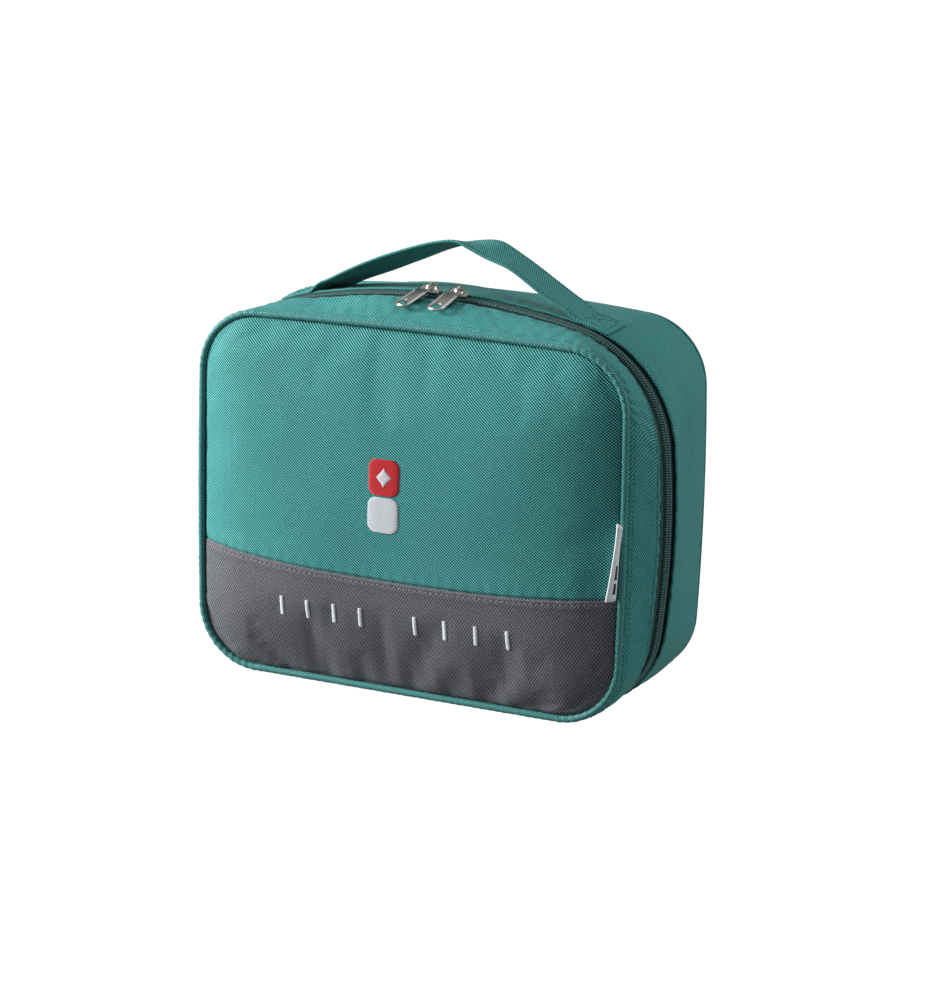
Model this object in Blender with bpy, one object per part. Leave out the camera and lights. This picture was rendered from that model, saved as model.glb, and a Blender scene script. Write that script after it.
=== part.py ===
"""Soft-sided first aid bag: padded front lid on a fabric hinge, zipped shell, carry strap.

Frame: +X to the right, +Y to the back, +Z up; the floor is z = 0 and x = 0 is the middle of the front.
All driving dimensions are in millimetres; meshes are written in metres.
"""
import math

import bpy
import bmesh
import numpy as np
from mathutils import Matrix, Vector

for old in list(bpy.data.objects):
    bpy.data.objects.remove(old, do_unlink=True)

MM = 0.001

# ---------------------------------------------------------------- driving dimensions, mm
FRONT_Y = -52.5          # plane of the piped front seam
ZIP_Y = -23.0            # plane of the zipper, where the lid parts from the body
BACK_Y = 52.5            # outer face of the back panel
CROWN = 13.0             # how far the padded front panel bulges

# outline: half width, side radius, height of the widest point, top, top radius, corner radii, bottom
PANEL = dict(xs=119.5, rs=3000.0, zs=95.0, zt=194.1, rt=3000.0, rc=30.0, rb=30.0, z0=5.1)
PIPING = dict(xs=122.6, rs=3000.0, zs=95.0, zt=197.1, rt=3000.0, rc=33.0, rb=33.0, z0=2.4)
EDGE = dict(xs=124.0, rs=3000.0, zs=95.0, zt=198.4, rt=3000.0, rc=34.5, rb=34.5, z0=0.0)
ZIP = dict(xs=135.0, rs=440.0, zs=99.5, zt=210.0, rt=356.0, rc=68.0, rb=50.0, z0=0.0)
BACK = dict(xs=125.0, rs=1500.0, zs=99.5, zt=202.0, rt=1000.0, rc=37.0, rb=37.0, z0=0.0)
LID_PUFF = 1.0           # extra crown of the lid gusset between seam and zipper
BODY_PUFF = 1.4          # extra crown of the body gusset between zipper and back

CLOTH = 1.2              # outer cloth
GAP = 0.3                # clearance between neighbouring layers
FOAM = 2.4               # wall foam
LINING = 0.8
PIPING_R = 2.0
TAPE_T = 0.6
COIL_W, COIL_T = 2.3, 2.0
COIL_GAP = 0.7           # half the space between the two coil halves
TAPE_W = 11.3
FLAT = 4.6               # the outline keeps its shape this far each side of the zipper
ZIP_OPEN = 6.0           # from the zipper plane to the edge of the cloth, each side

STRAP_W = 24.0
STRAP_T = 1.8
STRAP_Y = -4.5
STRAP_END = 95.0         # outer end of each sewn strap end
STRAP_SEWN = 72.0        # inner end of each sewn strap end
HANDLE_Z = 207.0         # axis the strap flops about

SLIDER_L, SLIDER_W = 11.0, 7.8
PULL_W, PULL_L, PULL_T = 7.0, 23.0, 1.0
PULL_REST = math.radians(18.0)
LEFT_X, RIGHT_X = -2.0, 14.0
ARC_Z = ZIP['zt'] - ZIP['rt']       # centre of the arched top of the zipper

# ---------------------------------------------------------------- materials


def material(name, colour, rough, metal=0.0):
    m = bpy.data.materials.new(name)
    m.use_nodes = True
    b = m.node_tree.nodes['Principled BSDF']
    b.inputs['Base Color'].default_value = (*colour, 1.0)
    b.inputs['Roughness'].default_value = rough
    b.inputs['Metallic'].default_value = metal
    m.diffuse_color = (*colour, 1.0)
    return m


GREEN = material('green_oxford_cloth', (0.045, 0.235, 0.205), 0.75)
GREY = material('grey_oxford_cloth', (0.080, 0.078, 0.088), 0.8)
PIPE = material('green_piping', (0.030, 0.170, 0.150), 0.7)
FOAM_M = material('white_foam', (0.75, 0.75, 0.72), 0.95)
LINE_M = material('grey_lining', (0.20, 0.21, 0.22), 0.8)
TAPE_M = material('zipper_tape', (0.020, 0.105, 0.095), 0.8)
COIL_M = material('zipper_coil', (0.035, 0.110, 0.105), 0.45)
NICKEL = material('nickel_plated_metal', (0.55, 0.53, 0.50), 0.35, 1.0)
WHITE = material('white_woven_label', (0.80, 0.80, 0.79), 0.7)
RED = material('red_emblem', (0.62, 0.02, 0.025), 0.6)
MESH_M = material('black_mesh', (0.05, 0.05, 0.055), 0.8)
STRAP_M = material('green_strap', (0.045, 0.225, 0.195), 0.72)

# ---------------------------------------------------------------- building helpers

EMPTIES = {}


def empty(name, pos, rot=(0, 0, 0), parent=None):
    e = bpy.data.objects.new(name, None)
    bpy.context.scene.collection.objects.link(e)
    e.empty_display_size = 0.01
    e.location = Vector(pos) * MM
    e.rotation_euler = rot
    if parent:
        e.parent = parent
    EMPTIES[name] = e
    return e


def make(name, verts, faces, mat, origin=(0, 0, 0), parent=None, smooth=True, tool=False):
    """Closed solid from points in mm given in its parent's frame; origin is where the object's own origin sits."""
    me = bpy.data.meshes.new(name)
    o = np.array(origin, float)
    me.from_pydata([tuple((np.array(v) - o) * MM) for v in verts], [], [tuple(f) for f in faces])
    bm = bmesh.new()
    bm.from_mesh(me)
    bmesh.ops.remove_doubles(bm, verts=bm.verts, dist=1e-6)
    bmesh.ops.recalc_face_normals(bm, faces=bm.faces)
    bm.to_mesh(me)
    bm.free()
    me.materials.append(mat)
    if smooth:
        me.shade_smooth()
        me.set_sharp_from_angle(angle=math.radians(35))
    ob = bpy.data.objects.new(name, me)
    bpy.context.scene.collection.objects.link(ob)
    ob.location = Vector(origin) * MM
    if parent:
        ob.parent = parent
    if tool:
        ob.hide_render = True
        ob.display_type = 'WIRE'
    return ob


def outline(xs, rs, zs, zt, rt, rc, rb, z0):
    """Closed x-z outline made of tangent arcs: arched top, rounded corners, bowed sides, flat bottom.
    Every outline has the same number of points at the same stations, so they loft to each other."""
    ct = np.array([0.0, zt - rt])
    cs = np.array([xs - rs, zs])
    d = cs - ct
    dist = np.hypot(*d)
    r1, r2 = rt - rc, rs - rc
    a = (r1 * r1 - r2 * r2 + dist * dist) / (2 * dist)
    h = math.sqrt(r1 * r1 - a * a)
    u = d / dist
    p = ct + u * a
    n = np.array([-u[1], u[0]])
    cc = max((p + n * h, p - n * h), key=lambda c: c[1])
    th = math.atan2(*(cc - ct)[::-1])
    ph = math.atan2(*(cc - cs)[::-1])
    zb = z0 + rb
    xb = cs[0] + math.sqrt((rs - rb) ** 2 - (zb - zs) ** 2)
    cb = np.array([xb, zb])
    pb = math.atan2(*(cb - cs)[::-1])

    def arc(c, r, t0, t1, k):
        return [c + r * np.array([math.cos(t), math.sin(t)]) for t in np.linspace(t0, t1, k, endpoint=False)]
    right = arc(ct, rt, math.pi / 2, th, 4) + arc(cc, rc, th, ph, 6) + arc(cs, rs, ph, pb, 4)
    right += arc(cb, rb, pb, -math.pi / 2, 5) + [np.array([xb * (1 - t), z0]) for t in np.linspace(0, 1, 4)]
    right = np.array(right)
    left = right[1:-1][::-1] * np.array([-1, 1])
    return np.concatenate([right, left])


def inset(loop, d):
    """Move an outline out (d > 0) or in (d < 0) along its own normals."""
    t = np.roll(loop, -1, 0) - np.roll(loop, 1, 0)
    t /= np.linalg.norm(t, axis=1)[:, None]
    return loop + np.stack([-t[:, 1], t[:, 0]], 1) * d


L_EDGE, L_ZIP, L_BACK = outline(**EDGE), outline(**ZIP), outline(**BACK)
N = len(L_ZIP)
EDGE_Y = -50.3           # front end of the lid gusset, just behind the piping


def section(y):
    """Outer outline of the bag at depth y."""
    if y <= ZIP_Y:
        t = min((y - EDGE_Y) / (ZIP_Y - FLAT - EDGE_Y), 1.0)
        lp, puff = L_EDGE * (1 - t) + L_ZIP * t, LID_PUFF
    else:
        t = max((y - ZIP_Y - FLAT) / (BACK_Y - ZIP_Y - FLAT), 0.0)
        lp, puff = L_ZIP * (1 - t) + L_BACK * t, BODY_PUFF
    lp = inset(lp, puff * 4 * max(t * (1 - t), 0.0))
    lp[:, 1] = np.maximum(lp[:, 1], 0.0)
    return lp


def ring3(lp, y):
    return [(p[0], y, p[1]) for p in lp]


def skin(rows, closed_rows=True, first=0, last=None, along=False):
    """Triangles joining consecutive rows of equal length. Every sheet splits its quads along the same
    diagonal, from the front at one station to the back at the next, so nested layers stay parallel."""
    n = len(rows[0])
    faces = []
    for r in range(first, len(rows) - 1 if last is None else last):
        for i in range(n if closed_rows else n - 1):
            j = (i + 1) % n
            a, b, c, d = r * n + i, r * n + j, (r + 1) * n + j, (r + 1) * n + i
            ahead = rows[r][i][1] <= rows[r][j][1] if along else rows[r][i][1] <= rows[r + 1][i][1]
            faces += [(a, b, c), (a, c, d)] if ahead else [(a, b, d), (b, c, d)]
    return faces


def band(name, ys, d_out, d_in, mat, **kw):
    """Closed hoop between two offsets of the bag's outline, front to back."""
    rows = [ring3(inset(section(y), d_out), y) for y in ys] + [ring3(inset(section(y), d_in), y) for y in reversed(ys)]
    rows.append(rows[0])
    verts = [v for r in rows for v in r]
    return make(name, verts, skin(rows), mat, **kw)


def strip(name, idx, ys, d_out, d_in, mat, **kw):
    """Open length of the same hoop: only the stations in idx."""
    prof = [(y, d_out) for y in ys] + [(y, d_in) for y in reversed(ys)]
    cols = []
    for i in idx:
        lo, hi = int(math.floor(i)), int(math.ceil(i))
        f = i - lo
        col = []
        for y, d in prof:
            lp = inset(section(y), d)
            p = lp[lo % N] * (1 - f) + lp[hi % N] * f
            col.append((p[0], y, p[1]))
        cols.append(col)
    verts = [v for c in cols for v in c]
    faces = skin(cols, along=True)
    k = len(prof)
    faces.append(tuple(range(k)))
    faces.append(tuple(range((len(cols) - 1) * k, len(cols) * k))[::-1])
    return make(name, verts, faces, mat, **kw)


def tub(name, ys, d_out, d_in, y_out, y_in, mat, **kw):
    """Hoop closed by a flat wall: a soft tray. y_out is the wall's outer face, y_in its inner face."""
    wall = ys[-1]
    rows = [ring3(inset(section(y), d_out), y) for y in ys[:-1]]
    rows.append(ring3(inset(section(wall), d_out), y_out))
    rows_in = [ring3(inset(section(y), d_in), y) for y in ys[:-1]]
    rows_in.append(ring3(inset(section(wall), d_in), y_in))
    k, n = len(rows), N
    rows = rows + rows_in[::-1]
    rows.append(rows[0])
    verts = [v for r in rows for v in r]
    faces = skin(rows, last=k - 1) + skin(rows, first=k)
    faces.append(tuple(range((k - 1) * n, k * n)))
    faces.append(tuple(range(k * n, (k + 1) * n))[::-1])
    return make(name, verts, faces, mat, **kw)


def plate(name, lp, y0, y1, mat, **kw):
    """Flat plate of outline lp between two depths."""
    n = len(lp)
    verts = ring3(lp, y0) + ring3(lp, y1)
    faces = [tuple(range(n)), tuple(range(n, 2 * n))[::-1]]
    faces += [(i, (i + 1) % n, n + (i + 1) % n, n + i) for i in range(n)]
    return make(name, verts, faces, mat, **kw)


def box(name, lo, hi, mat, **kw):
    x0, y0, z0 = lo
    x1, y1, z1 = hi
    v = [(x, y, z) for x in (x0, x1) for y in (y0, y1) for z in (z0, z1)]
    f = [(0, 1, 3, 2), (4, 6, 7, 5), (0, 4, 5, 1), (2, 3, 7, 6), (0, 2, 6, 4), (1, 5, 7, 3)]
    return make(name, v, f, mat, smooth=False, **kw)


def prism(name, pts, along, a, b, mat, **kw):
    """Extrude a polygon: along 'x' pts are (y, z); along 'y' (x, z); along 'z' (x, y)."""
    def put(p, t):
        return {'x': (t, p[0], p[1]), 'y': (p[0], t, p[1]), 'z': (p[0], p[1], t)}[along]
    n = len(pts)
    verts = [put(p, a) for p in pts] + [put(p, b) for p in pts]
    faces = [tuple(range(n)), tuple(range(n, 2 * n))[::-1]]
    faces += [(i, (i + 1) % n, n + (i + 1) % n, n + i) for i in range(n)]
    return make(name, verts, faces, mat, **kw)


def boolean(ob, tool, op):
    m = ob.modifiers.new(op.lower(), 'BOOLEAN')
    m.operation = op
    m.solver = 'EXACT'
    m.object = tool


def top_z(x, y, d=0.0):
    """Height of the bag's top surface at (x, y), offset d outwards."""
    lp = inset(section(y), d)
    k = 12
    p = np.concatenate([lp[-k:], lp[:k + 1]])
    return float(np.interp(x, p[:, 0], p[:, 1]))


# ---------------------------------------------------------------- bodies
HINGE = (0.0, ZIP_Y, -0.3)
lid = empty('lid_hinge_axis', HINGE)


def on_lid(verts_ob):
    verts_ob.parent = lid
    verts_ob.location = Vector(verts_ob.location) - Vector(HINGE) * MM
    return verts_ob


# ---- body shell, behind the zipper
band('body_gusset', [ZIP_Y + ZIP_OPEN, ZIP_Y + 12.5, 8.0, 28.0, 47.3, 51.0], 0.0, -CLOTH, GREEN)
band('body_foam', [ZIP_Y + 12.5, 8.0, 28.0, 47.3], -CLOTH - GAP, -CLOTH - GAP - FOAM, FOAM_M)
D_LINE = -CLOTH - FOAM - 2 * GAP
tub('body_lining', [ZIP_Y + ZIP_OPEN + 0.5, 8.0, 28.0, 47.2], D_LINE, D_LINE - LINING, 47.2, 46.4, LINE_M)
plate('back_panel', inset(section(BACK_Y), 0.0), 51.3, BACK_Y, GREEN)
plate('back_foam_board', inset(section(49.0), -CLOTH - GAP - 0.2), 47.6, 51.0, FOAM_M)

# ---- lid shell, in front of the zipper
on_lid(band('lid_gusset', [EDGE_Y, -47.0, -41.0, ZIP_Y - 12.5, ZIP_Y - ZIP_OPEN], 0.0, -CLOTH, GREEN))
on_lid(band('lid_foam', [-47.0, -41.0, ZIP_Y - 12.5], -CLOTH - GAP, -CLOTH - GAP - FOAM, FOAM_M))
on_lid(tub('lid_lining', [ZIP_Y - ZIP_OPEN - 0.5, -41.0, -47.6], D_LINE, D_LINE - LINING, -47.6, -46.8, LINE_M))

# ---- front panel: crowned, in two cloths joined by a curved seam


def depth_in(x, z):
    """Distance from the front seam, inwards."""
    a, zc, hh, r = PANEL['xs'], (PANEL['zt'] + PANEL['z0']) / 2, (PANEL['zt'] - PANEL['z0']) / 2, PANEL['rc']
    qx, qz = abs(x) - (a - r), abs(z - zc) - (hh - r)
    return -(math.hypot(max(qx, 0), max(qz, 0)) + min(max(qx, qz), 0) - r)


def crown(x, z):
    d = max(depth_in(x, z), 0.0)
    return CROWN * (1 - math.exp(-d / 24.0)) / (1 - math.exp(-95.0 / 24.0))


def seam_z(x):
    """Height of the seam between the green and the grey cloth."""
    return 65.5 + 5.0 * (x / 120.0) ** 2


def edge_z(x, sign, d):
    """Top (sign 1) or bottom (sign -1) edge of the front panel at x, inset d."""
    a, r = PANEL['xs'] - d, PANEL['rc'] - d
    zc, hh = (PANEL['zt'] + PANEL['z0']) / 2, (PANEL['zt'] - PANEL['z0']) / 2 - d
    u = max(abs(x) - (a - r), 0.0)
    bow = x * x / (2 * PANEL['rt']) if sign > 0 else 0.0
    return zc + sign * (hh - r + math.sqrt(max(r * r - u * u, 0.0))) - bow


def crowned(name, z_lo, z_hi, half, y_of, thick, mat, nx=18, nz=6):
    """Crowned sheet over |x| <= half between two height functions."""
    xs = [half * math.sin(math.pi / 2 * t) for t in np.linspace(-1, 1, nx + 1)]
    front, back = [], []
    for x in xs:
        a, b = z_lo(x), z_hi(x)
        zz = [a + (b - a) * (0.5 - 0.5 * math.cos(math.pi * t)) for t in np.linspace(0, 1, nz + 1)]
        front.append([(x, y_of(x, z), z) for z in zz])
        back.append([(x, thick(x, z), z) for z in zz])
    m = nz + 1
    rows = front + back
    verts = [v for r in rows for v in r]
    faces = []
    for base in (0, nx + 1):
        for i in range(nx):
            for j in range(nz):
                p = (base + i) * m + j
                faces.append((p, p + 1, p + m + 1, p + m))
    o = (nx + 1) * m
    for i in range(nx):
        for j in (0, nz):
            faces.append((i * m + j, (i + 1) * m + j, o + (i + 1) * m + j, o + i * m + j))
    for i in (0, nx):
        for j in range(nz):
            faces.append((i * m + j, i * m + j + 1, o + i * m + j + 1, o + i * m + j))
    return make(name, verts, faces, mat)


OUT_Y = FRONT_Y - 0.9
HALF = PANEL['xs'] - 0.02
on_lid(crowned('front_panel_upper', lambda x: seam_z(x) + 0.2, lambda x: edge_z(x, 1, 0), HALF,
               lambda x, z: OUT_Y - crown(x, z), lambda x, z: OUT_Y + CLOTH - crown(x, z), GREEN))
on_lid(crowned('front_panel_lower', lambda x: edge_z(x, -1, 0), lambda x: seam_z(x) - 0.2, HALF,
               lambda x, z: OUT_Y - crown(x, z), lambda x, z: OUT_Y + CLOTH - crown(x, z), GREY, nz=5))
on_lid(crowned('front_foam', lambda x: edge_z(x, -1, 3.5), lambda x: edge_z(x, 1, 3.5), PANEL['xs'] - 3.52,
               lambda x, z: OUT_Y + CLOTH + 1.4 - 0.98 * crown(x, z), lambda x, z: -48.0, FOAM_M, nx=14, nz=8))

# ---- piping round the front seam
lp = outline(**PIPING)
nrm = inset(lp, 1.0) - lp
cols = []
for k in range(7):
    a = 2 * math.pi * k / 7
    cols.append([(p[0] + q[0] * PIPING_R * math.cos(a), FRONT_Y - 0.3 + PIPING_R * math.sin(a), p[1] + q[1] * PIPING_R * math.cos(a))
                 for p, q in zip(lp, nrm)])
cols.append(cols[0])
on_lid(make('front_piping', [v for c in cols for v in c], skin(cols), PIPE))

# ---- emblem: two small stitched tiles on the front panel, and a folded label in the right seam


def tile(name, x0, x1, z0, z1, mat, lift=0.3, t=0.5, bev=2.6):
    pts = []
    for cx, cz, a0 in ((x1 - bev, z1 - bev, 0), (x0 + bev, z1 - bev, 90), (x0 + bev, z0 + bev, 180), (x1 - bev, z0 + bev, 270)):
        for k in range(4):
            a = math.radians(a0 + 30 * k)
            pts.append((cx + bev * math.cos(a), cz + bev * math.sin(a)))
    # ruled on the crown at the tile's middle, so the tile is flat and just clear of the cloth
    ys = min(OUT_Y - crown(x, z) for x, z in pts + [((x0 + x1) / 2, (z0 + z1) / 2)]) - lift
    return prism(name, pts, 'y', ys - t, ys, mat)


on_lid(tile('emblem_tile_red', -14.6, 3.6, 111.6, 129.8, RED))
on_lid(tile('emblem_tile_white', -14.6, 3.6, 91.6, 109.8, WHITE))
on_lid(prism('side_label', [(118.5, -54.6), (119.2, -55.0), (115.4, -62.2), (114.7, -61.8)], 'z', 70.0, 107.0, WHITE, smooth=False))

# ---- zipper: stations of the outline from low on the right side, over the top, to low on the left side
Z_FIRST = 16.5           # station half-way round the bottom right corner
zidx = [-Z_FIRST] + [float(i) for i in range(-int(Z_FIRST), int(Z_FIRST) + 1)] + [Z_FIRST]
C0, C1 = COIL_GAP, COIL_GAP + COIL_W
D_TAPE = -CLOTH - GAP
strip('zipper_tape_body', zidx, [ZIP_Y + C0, ZIP_Y + FLAT, ZIP_Y + C0 + TAPE_W], D_TAPE, D_TAPE - TAPE_T, TAPE_M)
strip('zipper_coil_body', zidx, [ZIP_Y + C0, ZIP_Y + C1], D_TAPE + GAP + COIL_T, D_TAPE + GAP, COIL_M)
on_lid(strip('zipper_tape_lid', zidx, [ZIP_Y - C0 - TAPE_W, ZIP_Y - FLAT, ZIP_Y - C0], D_TAPE, D_TAPE - TAPE_T, TAPE_M))
on_lid(strip('zipper_coil_lid', zidx, [ZIP_Y - C1, ZIP_Y - C0], D_TAPE + GAP + COIL_T, D_TAPE + GAP, COIL_M))

# ---- fabric over the two ends of the zipper and the fabric hinge between them
Z_TAB = 18.2
H = ZIP_OPEN - 0.4
strip('zipper_end_tab_right', [Z_FIRST + 0.12, 17.0, 17.6, Z_TAB], [ZIP_Y - H, ZIP_Y - FLAT, ZIP_Y + FLAT, ZIP_Y + H], 0.0, -CLOTH, GREEN)
strip('zipper_end_tab_left', [-Z_TAB, -17.6, -17.0, -Z_FIRST - 0.12], [ZIP_Y - H, ZIP_Y - FLAT, ZIP_Y + FLAT, ZIP_Y + H], 0.0, -CLOTH, GREEN)
strip('bottom_hinge_strip', [Z_TAB + 0.1, 19.0, 20.0, 21.0, 22.0, 23.0, 24.0, 25.0, N - Z_TAB - 0.1],
      [ZIP_Y - H, ZIP_Y - FLAT, ZIP_Y + FLAT, ZIP_Y + H], 0.0, -CLOTH, GREEN)

# ---- sliders on the arched top of the zipper, each with a hinged pull
TOP_IN = D_TAPE + GAP + COIL_T + GAP      # underside of the slider's top plate, from the outline
BOT_IN = D_TAPE - TAPE_T - GAP            # top face of its bottom plate
PLATE = 1.2
BAR = 2.4                                 # height of the pull's cross bar over the top plate
PULL_YAW = {'left': math.radians(-22.0), 'right': math.radians(-11.0)}
for side, x in (('left', LEFT_X), ('right', RIGHT_X)):
    arc = empty('slider_%s_arc_centre' % side, (0, ZIP_Y, ARC_Z), rot=(0, x / ZIP['rt'], 0))
    zt, zb, w, v = ZIP['rt'] + TOP_IN, ZIP['rt'] + BOT_IN, SLIDER_W / 2, 0.4
    prof = [(-w, zt), (-v, zt), (-v, zb), (-w + 0.4, zb), (-w + 0.4, zb - 1.0), (w - 0.4, zb - 1.0), (w - 0.4, zb), (v, zb),
            (v, zt), (w, zt), (w, zt + PLATE - 0.7), (w - 0.9, zt + PLATE), (-w + 0.9, zt + PLATE), (-w, zt + PLATE - 0.7)]
    s = prism('zipper_slider_' + side, prof, 'x', -SLIDER_L / 2, SLIDER_L / 2, NICKEL, origin=(0, 0, ZIP['rt']), parent=arc, smooth=False)
    # bridge over the top plate, turned so that the pull points forwards and a little to the left
    post = empty('slider_bridge_%s_centre' % side, (0, 0, zt + PLATE), rot=(0, 0, PULL_YAW[side]), parent=arc)
    br = [(-3.7, -0.5), (-3.7, 2.4), (-2.9, BAR + 1.7), (2.9, BAR + 1.7), (3.7, 2.4), (3.7, -0.5),
          (2.7, -0.5), (2.7, 2.0), (2.3, BAR + 0.9), (-2.3, BAR + 0.9), (-2.7, 2.0), (-2.7, -0.5)]
    b = prism('slider_bridge_' + side, br, 'x', -0.6, 0.6, NICKEL, parent=post, smooth=False, tool=True)
    boolean(s, b, 'UNION')
    # the pull, modelled pointing forwards (-Y) from its cross bar, then leaned down onto the lid
    bar = empty('pull_%s_axis' % side, (0, -1.5, BAR), parent=post)
    e = 2.45
    tip = [(PULL_W / 2 * math.cos(math.pi * k / 8), -(PULL_L - PULL_W / 2) - PULL_W / 2 * math.sin(math.pi * k / 8)) for k in range(9)]
    out = [(-e, 0.5), (-e, -4.6), (-PULL_W / 2, -6.6)] + tip[::-1] + [(PULL_W / 2, -6.6), (e, -4.6), (e, 0.5)]
    pull = prism('zipper_pull_' + side, out, 'z', -PULL_T / 2, PULL_T / 2, NICKEL, parent=bar, smooth=False)
    pull.rotation_euler = (PULL_REST, 0, 0)
    wx = 1.35
    win = prism('pull_window_' + side, [(-wx, -0.5), (-wx, -5.2), (wx, -5.2), (wx, -0.5)], 'z', -2, 2, NICKEL, parent=pull, tool=True, smooth=False)
    hole = [(1.9 * math.cos(2 * math.pi * k / 14), -(PULL_L - 4.3) + 1.9 * math.sin(2 * math.pi * k / 14)) for k in range(14)]
    eye = prism('pull_eye_' + side, hole, 'z', -2, 2, NICKEL, parent=pull, tool=True, smooth=False)
    boolean(pull, win, 'DIFFERENCE')
    boolean(pull, eye, 'DIFFERENCE')

# ---- carry strap: two sewn ends and the arch between them
for side, s in (('left', -1), ('right', 1)):
    xs = np.linspace(STRAP_SEWN, STRAP_END, 6) * s
    ys = np.linspace(STRAP_Y - STRAP_W / 2, STRAP_Y + STRAP_W / 2, 4)
    rows = []
    for x in xs:
        rows.append([(x, y, top_z(x, y, 0.35)) for y in ys] + [(x, y, top_z(x, y, 0.35 + STRAP_T)) for y in ys[::-1]])
    verts = [v for r in rows for v in r]
    faces = skin(rows) + [tuple(range(8)), tuple(range(40, 48))[::-1]]
    make('strap_end_' + side, verts, faces, STRAP_M)

handle = empty('handle_axis', (0, STRAP_Y, HANDLE_Z))
path = [(-69.0, 208.3), (-62.0, 209.6), (-40.0, 216.0), (-14.0, 227.0), (6.0, 234.4), (17.0, 235.6), (27.0, 233.4), (42.0, 225.0),
        (58.0, 214.8), (66.0, 210.0), (70.0, 208.3)]


def smooth_path(pts, per=2):
    p = [np.array(q, float) for q in pts]
    out = []
    for i in range(len(p) - 1):
        a, b, c, d = p[max(i - 1, 0)], p[i], p[i + 1], p[min(i + 2, len(p) - 1)]
        for k in range(per):
            t = k / per
            out.append(0.5 * ((2 * b) + (c - a) * t + (2 * a - 5 * b + 4 * c - d) * t * t + (3 * b - a - 3 * c + d) * t ** 3))
    out.append(p[-1])
    return out


rows = []
pp = smooth_path(path)
for i, p in enumerate(pp):
    t = pp[min(i + 1, len(pp) - 1)] - pp[max(i - 1, 0)]
    t /= np.linalg.norm(t)
    n = np.array([-t[1], t[0]])
    w = min(max(p[1] - HANDLE_Z - 1.6, 1.2), STRAP_W / 2)
    a, b = p - n * STRAP_T / 2, p + n * STRAP_T / 2
    rows.append([(a[0], -w, a[1] - HANDLE_Z), (a[0], w, a[1] - HANDLE_Z), (b[0], w, b[1] - HANDLE_Z), (b[0], -w, b[1] - HANDLE_Z)])
k = len(rows)
make('carry_strap', [v for r in rows for v in r], skin(rows) + [(0, 1, 2, 3), tuple(range(4 * k - 4, 4 * k))[::-1]], STRAP_M, parent=handle)

# ---- inside the lid: mesh pocket with its own small zipper
def inner(lo_z, hi_z, a, r):
    pts = []
    for cx, cz, a0 in ((a - r, hi_z - r, 90), (a - r, lo_z + r, 0), (-a + r, lo_z + r, 270), (-a + r, hi_z - r, 180)):
        for k in range(5):
            t = math.radians(a0 - 22.5 * k)
            pts.append((cx + r * math.cos(t), cz + r * math.sin(t)))
    return np.array(pts)


on_lid(plate('mesh_pocket', inner(14.0, 138.0, 108.0, 20.0), -46.4, -45.7, MESH_M))
on_lid(box('pocket_zipper_tape', (-100, -46.4, 138.4), (100, -45.7, 150.0), TAPE_M))
on_lid(box('pocket_zipper_coil', (-96, -45.4, 142.4), (96, -44.2, 146.0), COIL_M))
px = empty('pocket_slider_start', (-88.0, -45.0, 144.2))
px.parent = lid
px.location = px.location - Vector(HINGE) * MM
prism('pocket_zipper_slider', [(-43.9 + 45, -2.9), (-42.9 + 45, -2.9), (-42.9 + 45, 2.9), (-43.9 + 45, 2.9)], 'x', -4.5, 4.5, NICKEL, parent=px, smooth=False)

# ---- inside the body: elastic band, padded dividers
box('elastic_band', (-96.0, 44.9, 150.0), (96.0, 46.1, 176.0), LINE_M)


def divider(name, quad, t0, t1, up, mat):
    """Padded plate: quad is four (across, y) corners; it spans t0..t1 along z (up=True) or along x."""
    v = []
    for t in (t0, t1):
        for a, y in quad:
            v.append((a, y, t) if up else (t, y, a))
    f = [(0, 1, 2, 3), (7, 6, 5, 4)] + [(i, (i + 1) % 4, 4 + (i + 1) % 4, 4 + i) for i in range(4)]
    return make(name, v, f, mat, smooth=False)


divider('divider_long', [(-126.5, -10.0), (126.5, -10.0), (119.4, 44.0), (-119.4, 44.0)], 92.0, 96.0, True, LINE_M)
divider('divider_short_left', [(96.4, -10.0), (199.5, -10.0), (196.5, 44.0), (96.4, 44.0)], -42.0, -38.0, False, LINE_M)
divider('divider_short_right', [(6.0, -10.0), (91.6, -10.0), (91.6, 44.0), (6.0, 44.0)], 38.0, 42.0, False, LINE_M)
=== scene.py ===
import math

import bpy
import bmesh
import numpy as np
from mathutils import Matrix, Vector


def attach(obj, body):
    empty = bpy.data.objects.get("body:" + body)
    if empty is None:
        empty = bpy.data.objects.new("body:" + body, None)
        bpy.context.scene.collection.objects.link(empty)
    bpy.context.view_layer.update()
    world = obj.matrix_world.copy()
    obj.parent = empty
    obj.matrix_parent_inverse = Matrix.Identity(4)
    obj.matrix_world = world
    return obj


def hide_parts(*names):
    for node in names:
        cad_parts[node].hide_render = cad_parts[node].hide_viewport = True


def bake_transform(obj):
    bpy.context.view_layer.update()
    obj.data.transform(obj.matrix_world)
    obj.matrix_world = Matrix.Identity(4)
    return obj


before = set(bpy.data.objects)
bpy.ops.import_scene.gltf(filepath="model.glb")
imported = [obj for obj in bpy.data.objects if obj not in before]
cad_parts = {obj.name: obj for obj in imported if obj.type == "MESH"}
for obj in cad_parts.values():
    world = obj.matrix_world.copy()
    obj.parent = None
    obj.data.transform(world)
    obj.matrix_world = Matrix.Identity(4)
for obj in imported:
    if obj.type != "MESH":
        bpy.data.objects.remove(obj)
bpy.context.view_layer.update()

MM = 0.001
PI = math.pi
M = 16                    # points between two stations of an outline

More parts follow.
